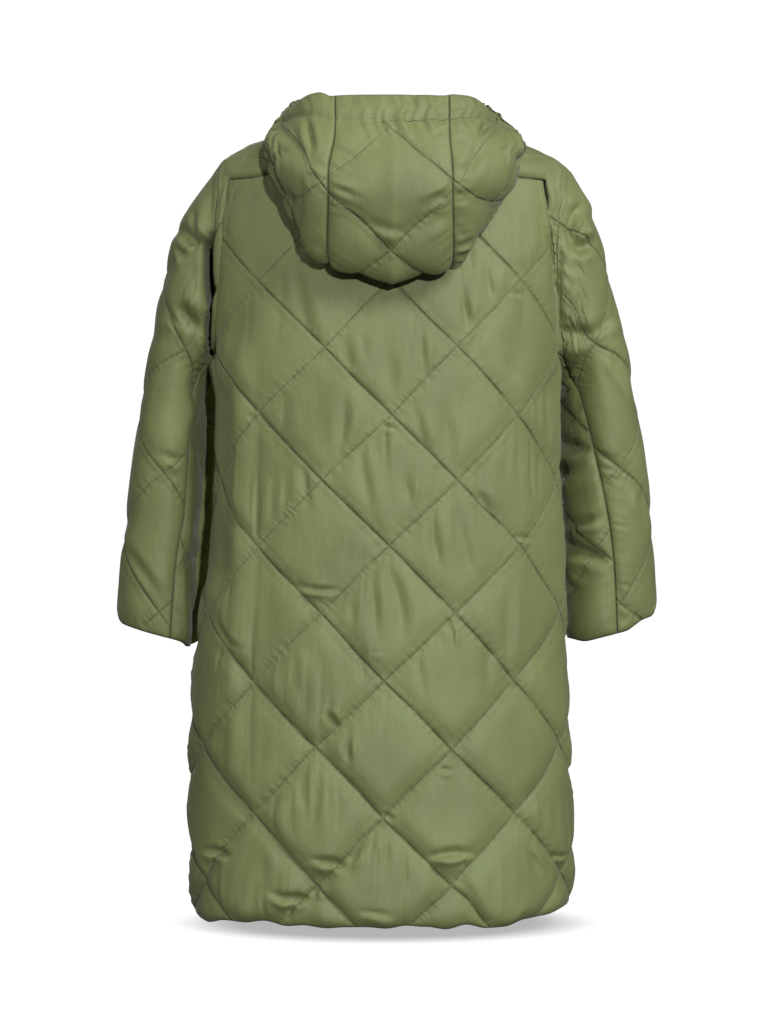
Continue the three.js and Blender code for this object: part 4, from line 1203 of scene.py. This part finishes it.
def lacquered_zinc(name, colour):
    """Cast zinc under clear lacquer: grey metal with a shine that is uneven at a small scale."""
    material, tree, shader = new_material(
        name, Base_Color=shade(colour), Metallic=1.0, Coat_Weight=0.4)
    place = add(tree, "ShaderNodeTexCoord")
    mottle = add(tree, "ShaderNodeTexNoise", {
        "Vector": (place, "Object"), "Scale": MOTTLE, "Detail": 3.0})
    rough = add(tree, "ShaderNodeMapRange", {"Value": (mottle, "Fac"), "To Min": 0.25, "To Max": 0.45})
    tree.links.new(rough.outputs["Result"], shader.inputs["Roughness"])
    return material


# ---- how each piece is quilted and creased ------------------------------------------------------

# height of a quilting square that stands on its corner, and from one line of stitching to
# the next
PITCH, HOOD_PITCH = 174.6, 165
SQUARE, HOOD_SQUARE = PITCH / math.sqrt(2), HOOD_PITCH / math.sqrt(2)

# Creases as seen from behind, in mm of the coat: x and z of both ends, bow, width, depth.
BACK_FOLDS = [
    (137, -170, 132, -218, 0, 5, 2),
    (121, -142, 92, -263, 6, 7, 2.5),
    (57, -260, 41, -308, 0, 7, 2.5),
    (34, -250, 25, -301, 0, 6, 1.8),
    (-7, -282, -5, -346, 0, 8, 1.8),
    (-48, -250, -50, -311, 3, 5, 2.5),
    (-99, -208, -107, -250, 0, 6, 2.5),
    (-128, -170, -138, -212, 0, 6, 2),
    (-122, -250, -112, -282, 0, 5, 2),
    (-157, -282, -170, -320, 0, 7, 2),
    (-163, -199, -179, -208, 0, 3, 2.5),
    (127, -340, 134, -378, 0, 6, 1.5),
    (3, -375, -16, -378, 3, 2.5, 2.5),
    (54, -335, 66, -416, -6, 6, 2.2),
    (-34, -347, -52, -407, 0, 5, 2),
    (-69, -347, -81, -437, -5, 9, 2.5),
    (33, -407, 15, -496, 3, 6, 2),
    (-23, -437, -32, -479, 0, 5, 2),
    (-60, -488, -74, -574, 4, 5, 2),
    (-89, -476, -116, -586, 3, 7, 2.5),
    (-113, -460, -134, -496, -3, 5, 3),
    (108, -425, 101, -485, 0, 5, 1.6),
    (-167, -520, -191, -526, 0, 3, 3),
    (0, -556, -21, -658, -7, 7, 2.6),
    (45, -601, 43, -640, 0, 5, 1.6),
    (18, -571, 12, -654, 0, 5, 1.8),
    (-160, -574, -158, -688, 4, 6, 2),
    (120, -584, 58, -591, 2, 3.5, 4),
    (-76, -628, -84, -670, -5, 3, 3.5),
    (218, -619, 182, -670, 13, 4, 3),
    (21, -671, 3, -671, 0, 3, 2),
    (33, -661, 30, -714, 0, 5, 1.8),
    (-131, -661, -131, -735, 0, 6, 2),
    (-42, -676, -48, -735, 0, 5, 1.8),
    (81, -747, 63, -774, -3, 4, 4),
    (47, -783, 47, -814, 3, 4, 3.5),
    (-69, -822, -86, -827, 0, 3, 3.5),
    (9, -881, -10, -892, -3, 3, 3.5),
    (234, -934, 196, -941, 0, 4, 6),
    (100, -940, 48, -952, -3, 4.5, 6.5),
    (55, -946, 32, -923, 3, 4, 4),
    (-48, -938, -118, -934, -4, 4, 6),
    (152, -984, 92, -992, 3, 4.5, 6),
    (97, -989, 84, -973, 0, 4, 3.5),
    (39, -1005, -17, -1015, 0, 5, 3),
    (-174, -930, -197, -969, -3, 4, 3),
    (-232, -946, -210, -943, 0, 3, 3),
    (117, -996, 127, -1015, 0, 3, 3),
]
FRONT_FOLDS = [
    (60, -250, 52, -330, 4, 6, 2.2),
    (120, -380, 108, -470, -3, 7, 2.4),
    (38, -450, 46, -520, 0, 5, 2),
    (200, -540, 184, -640, 5, 6, 2.6),
    (90, -600, 140, -607, 3, 3, 3.2),
    (40, -700, 92, -708, -4, 4, 4),
    (150, -820, 120, -850, 4, 4, 4),
    (90, -955, 142, -962, 4, 5, 4.5),
    (30, -930, 66, -922, 0, 4, 3.5),
    (-70, -310, -62, -400, -4, 6, 2.4),
    (-140, -450, -152, -540, 3, 7, 2.4),
    (-40, -540, -48, -610, 0, 5, 2),
    (-200, -640, -180, -720, -4, 6, 2.6),
    (-52, -760, -98, -752, 3, 4, 4),
    (-160, -900, -118, -912, 4, 5, 4.5),
    (-60, -985, -100, -978, 0, 4, 3.5),
]
HOOD_FOLDS = [
    (74, -56, 37, -65, 3, 4, 3),
    (24, -113, -28, -128, 4, 5, 3.2),
    (20, -12, 3, -13, 0, 2.5, 1.6),
    (105, 24, 92, -41, -3, 4, 5.5),
    (92, -41, 74, -55, 0, 4, 3),
    (-137, 18, -119, -10, 3, 4, 5.5),
    (-119, -10, -97, -60, -4, 5, 2.8),
    (120, -69, 117, -97, 0, 4, 2),
    (84, -130, 70, -160, 3, 4, 2.2),
    (-84, -118, -104, -140, 0, 4, 2.2),
]
LEFT_SLEEVE_FOLDS = [
    (253, -87, 249, -125, 3, 5, 5),
    (273, -106, 240, -139, 4, 7, 8),
    (276, -132, 252, -140, 11, 5, 4),
    (283, -120, 262, -118, -4, 5, 3),
    (283, -211, 250, -250, -4, 8, 8),
    (292, -214, 268, -243, 3, 6, 3),
    (303, -407, 269, -418, 4, 5, 3.5),
    (352, -527, 299, -607, 0, 5, 3.5),
    (262, -330, 256, -385, 5, 8, -4),
]
RIGHT_SLEEVE_FOLDS = [
    (-264, -73, -240, -122, 5, 5, 4),
    (-237, -111, -266, -141, 3, 7, 8),
    (-238, -139, -275, -128, 5, 6, 6),
    (-252, -120, -262, -104, 0, 4, 4),
    (-228, -240, -281, -251, 4, 8, 7),
    (-281, -250, -294, -225, 3, 6, 4),
    (-296, -280, -304, -316, 2, 4, -2.5),
    (-308, -294, -316, -335, 3, 4, -2.5),
    (-320, -292, -327, -358, 4, 6, -4),
    (-330, -455, -334, -500, 2, 5, -3),
]
RIGHT_UNDER_FOLDS = [
    (-233, -309, -257, -328, 3, 5, 5),
    (-229, -384, -280, -404, 6, 8, 7),
    (-229, -457, -258, -417, 3, 7, 6),
    (-249, -505, -293, -492, 3, 5, 5),
    (-232, -519, -307, -557, 4, 7, 7),
    (-240, -560, -262, -600, 5, 7, 5),
]
LEFT_UNDER_FOLDS = [
    (262, -500, 240, -545, 3, 6, 6),
    (275, -560, 250, -545, -3, 5, 4),
]

# how full the wadding is at a height
BACK_FULL = [(-1000, 2.1), (-800, 1.7), (-600, 1.0), (-100, 0.55)]
FRONT_FULL = [(-1000, 2.0), (-800, 1.6), (-600, 1.0), (-100, 0.55)]
SLEEVE_FULL = [(-560, 0.85), (-130, 0.65), (-50, 0.25)]
HOOD_FULL = [(-120, 1.25), (20, 0.7)]

# s, t: where a crossing of the lines lies on the cloth; half: how far the stitching's pull
# reaches; puff: how high the squares stand; ease: spare cloth across and along; pucker: depth
# of the gathers; channel: how far below the rim the hood's stitched channel runs
BODY_QUILT = dict(pitch=PITCH, square=SQUARE, half=34, puff=5.6, ease=(0.075, 0.004),
                  pucker=0.5, t=-361)
SLEEVE_QUILT = dict(pitch=PITCH, square=SQUARE, half=34, puff=6, pucker=0.6, full=SLEEVE_FULL)
UNDER_QUILT = dict(SLEEVE_QUILT, half=30, ease=(0.055, 0.01))
HOOD_QUILT = dict(pitch=HOOD_PITCH, square=HOOD_SQUARE, half=32, puff=5.0, pucker=0.5, s=3,
                  t=-52, seed=43, channel=38, full=HOOD_FULL, folds=HOOD_FOLDS)
QUILT = {
    "body": dict(BODY_QUILT, s=-5, seed=3, full=BACK_FULL, folds=BACK_FOLDS),
    "front": dict(BODY_QUILT, s=80, seed=13, full=FRONT_FULL, folds=FRONT_FOLDS),
    "sleeve_left": dict(SLEEVE_QUILT, s=-115, t=-436, ease=(0.03, 0.006), seed=23,
                        folds=LEFT_SLEEVE_FOLDS),
    "sleeve_right": dict(SLEEVE_QUILT, s=107, t=-428, ease=(0.035, 0.006), seed=33,
                         folds=RIGHT_SLEEVE_FOLDS),
    "under_left": dict(UNDER_QUILT, s=-190, t=-535, seed=27, folds=LEFT_UNDER_FOLDS),
    "under_right": dict(UNDER_QUILT, s=190, t=-530, seed=37, folds=RIGHT_UNDER_FOLDS),
    "hood": dict(HOOD_QUILT, ease=(0.045, 0.01)),
    "hood_side": dict(HOOD_QUILT, ease=(0.02, 0.005)),
}

# ---- the coat -----------------------------------------------------------------------------------

# points of the grid are this far apart on the back, and on the fronts
FINE, HIDDEN = ((3.0, 5.0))

pieces = [dict(make_back(FINE), quilt=QUILT["body"])]
for side in ("left", "right"):
    pieces.append(dict(make_front(side, HIDDEN), quilt=QUILT["front"]))
    pieces.append(dict(make_sleeve(side, "upper"), quilt=QUILT[f"sleeve_{side}"]))
    pieces.append(dict(make_sleeve(side, "under"), quilt=QUILT[f"under_{side}"]))
    pieces.append(dict(make_hood(side), quilt=QUILT["hood_side"]))
pieces.append(dict(make_hood("center"), quilt=QUILT["hood"]))

# 2c311c is the dark green of the painted shade in the quilting grooves and along the seams
shell_cloth = coated_nylon("coated_nylon_taffeta", "#747d4f", "#7d8756", "#2c311c", SQUARE)
shell_thread = polyester_thread("polyester_thread", "#8b9269")
tape_cloth = zip_tape_weave("zip_tape_weave", "#666d48")
zinc = lacquered_zinc("lacquered_zinc", "#8a8f86")

seams = []
for piece in pieces:
    shell = relief(piece)
    seams += stitch_lines(piece, shell)
    obj = quilted_piece(piece, shell)
    obj.data.materials.append(shell_cloth)
    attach(obj, "coat")
    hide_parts(piece["name"])
    width, length, area = cut(piece)

STITCH = {"length": 2.6, "radius": 0.33, "pitch": 3.4, "smallest": 0.85, "largest": 1.12}
stitches = repeat(
    "quilting_thread", path_mesh("path", seams), stitch_unit(STITCH["length"], STITCH["radius"]),
    STITCH["pitch"] / 1000, shell_thread, STITCH["smallest"], STITCH["largest"])
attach(stitches, "coat")

# ---- the zip ------------------------------------------------------------------------------------

ZIP_FOOT_Z, TEETH_FOOT_Z, TEETH_TOP_Z, TAPE_TOP_Z = -1012, -1008, -3, 16
TAPE_STEP, TAPE_THICK = 3, 1.2
# lines down the tape: how far each is from the middle of the zip, and behind the front edges
TAPE_X = np.array([0.5, 3.0, 5.5, 7.6, 12.5])
TAPE_Y = np.array([0, 0, 0.5, 2.6, 3.6])
TEETH_LIFT = 1.4


def front_line_y(z):
    """The line down the front that both fronts and the hood's front edges close on."""
    rails = [(NECK_FRONT_Z, -depth_at("front", FRONT_EDGE_X, NECK_FRONT_Z)[0])]
    rails += [(points[-1][3], points[-1][2]) for points in HOOD_RAILS.values()]
    rails = np.array(rails, float)
    body = -depth_at("front", FRONT_EDGE_X, np.minimum(z, NECK_FRONT_Z))
    return np.where(z <= NECK_FRONT_Z, body, through(rails[:, 0], rails[:, 1:], z)[:, 0])


def zip_tape(side, sign):
    """One tape, with a raised inner edge for the teeth and the rest tucked behind the cloth."""
    z = np.linspace(ZIP_FOOT_Z, TAPE_TOP_Z, round((TAPE_TOP_Z - ZIP_FOOT_Z) / TAPE_STEP) + 1)
    y = front_line_y(z)[:, None] + TAPE_Y
    half = TAPE_THICK / 2
    front, behind = (stack(sign * TAPE_X, y + d, z[:, None]) for d in (-half, half))
    count = y.size
    index = np.arange(count).reshape(y.shape)
    ring = np.concatenate([index[:, 0], index[-1, 1:], index[::-1][1:, -1], index[0, 1:-1][::-1]])
    after = np.roll(ring, -1)
    edge = np.stack([ring, after, after + count, ring + count], -1)
    cells = grid_faces(index, np.ones((len(z) - 1, len(TAPE_X) - 1), bool))
    faces = [cells, cells[:, ::-1] + count, edge]
    points = np.concatenate([front, behind]).reshape(-1, 3)
    return make_mesh(f"zip_tape_{side}_woven", points, faces)


def zip_teeth(side, sign):
    """Teeth in the middle of the zip; the two rows are half a pitch apart, so they mesh."""
    first = TEETH_FOOT_Z + (sign > 0) * TOOTH["pitch"] / 2
    z = np.arange(first, TEETH_TOP_Z, TOOTH["pitch"])
    x = np.full_like(z, sign * (TOOTH["wide"] / 2 - TOOTH["reach"]))
    path = path_mesh("path", [stack(x, front_line_y(z) - TEETH_LIFT, z)])
    return repeat(f"zip_teeth_{side}", path, tooth_unit(), TOOTH["pitch"] / 1000, zinc)


for side, sign in (("left", 1), ("right", -1)):
    tape = zip_tape(side, sign)
    tape.data.materials.append(tape_cloth)
    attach(tape, "coat")
    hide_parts(f"zip_tape_{side}")

for side, sign in (("left", 1), ("right", -1)):
    teeth = zip_teeth(side, sign)
    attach(teeth, "coat")

for name in ("zip_slider", "zip_pull"):
    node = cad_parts[name]
    node.data.materials.clear()
    node.data.materials.append(zinc)

# ---- stage, light and camera ----------------------------------------------------------------------

FLOOR_Z = -1.042
STAGE = 6

# the camera looks level at the coat's back
camera = placed("camera", bpy.data.cameras.new("camera"))
camera.data.lens = 103.6
camera.location = (0, 4.0, -0.493)
camera.rotation_euler = (math.radians(90), 0, math.radians(180))
bpy.context.scene.camera = camera


def lamp(name, kind, along, energy):
    """A light that shines along a direction."""
    made = placed(name, bpy.data.lights.new(name, kind))
    made.data.energy = energy
    made.rotation_euler = Vector(along).to_track_quat("-Z", "Y").to_euler()
    return made


def area_light(name, place, size, watts):
    """A soft square light that is aimed at the middle of the coat."""
    made = lamp(name, "AREA", Vector((0, 0, -0.5)) - Vector(place), watts)
    made.location = place
    made.data.size = size
    return made


def floor():
    """Pale studio floor that glows white, with a soft oval of painted shade, a dimmer glow, where the
    coat stands.
    """
    mesh = bpy.data.meshes.new("floor")
    corners = [(-STAGE, STAGE + 1), (STAGE, STAGE + 1), (STAGE, -STAGE), (-STAGE, -STAGE)]
    mesh.from_pydata([(x, y, FLOOR_Z) for x, y in corners], [], [(0, 3, 2, 1)])
    material, tree, shader = new_material(
        "studio_floor", Base_Color=shade("#3c3c3c"), Roughness=0.9,
        Emission_Color=shade("#ffffff"))
    place = add(tree, "ShaderNodeTexCoord")
    # painted shade: the floor's glow dims in an oval under the coat, standing in for its shadow
    oval = add(tree, "ShaderNodeVectorMath", {0: (place, "Object"), 1: (1 / 0.27, 1 / 0.2, 0)},
               operation="MULTIPLY")
    far = add(tree, "ShaderNodeVectorMath", {0: (oval, 0)}, operation="LENGTH")
    level = add(tree, "ShaderNodeMapRange", {
        "Value": (far, "Value"), "From Min": 0.7, "From Max": 1.15, "To Min": 0.45,
        "To Max": 1.02}, interpolation_type="SMOOTHSTEP")
    seen = add(tree, "ShaderNodeLightPath")
    glow = add(tree, "ShaderNodeMath", {0: (seen, "Is Camera Ray"), 1: (level, "Result")},
               operation="MULTIPLY")
    tree.links.new(glow.outputs[0], shader.inputs["Emission Strength"])
    mesh.materials.append(material)
    return placed("floor", mesh)


def studio_world():
    """White behind the coat, and only a little light from all around it."""
    world = bpy.data.worlds.new("world")
    world.use_nodes = True
    background = world.node_tree.nodes["Background"]
    background.inputs["Color"].default_value = shade("#ffffff")
    seen = add(world.node_tree, "ShaderNodeLightPath")
    level = add(world.node_tree, "ShaderNodeMapRange", {
        "Value": (seen, "Is Camera Ray"), "To Min": 0.06, "To Max": 1.05})
    world.node_tree.links.new(level.outputs["Result"], background.inputs["Strength"])
    return world


floor()
sun = lamp("key", "SUN", (0.5, -3.0, -0.5), 1.68)
sun.data.angle = math.radians(2)
area_light("right", (-2.4, 2.7, 2.5), 1.5, 135)
area_light("left", (2.7, 1.7, 2.0), 1.6, 28)
front_lamp = area_light("front", (1.5, -4.1, 0.0), 1.8, 115)
front_lamp.visible_glossy = False  # it fills the fronts and puts no shine on the edges
bpy.context.scene.world = studio_world()
bpy.context.scene.view_settings.view_transform = "Standard"
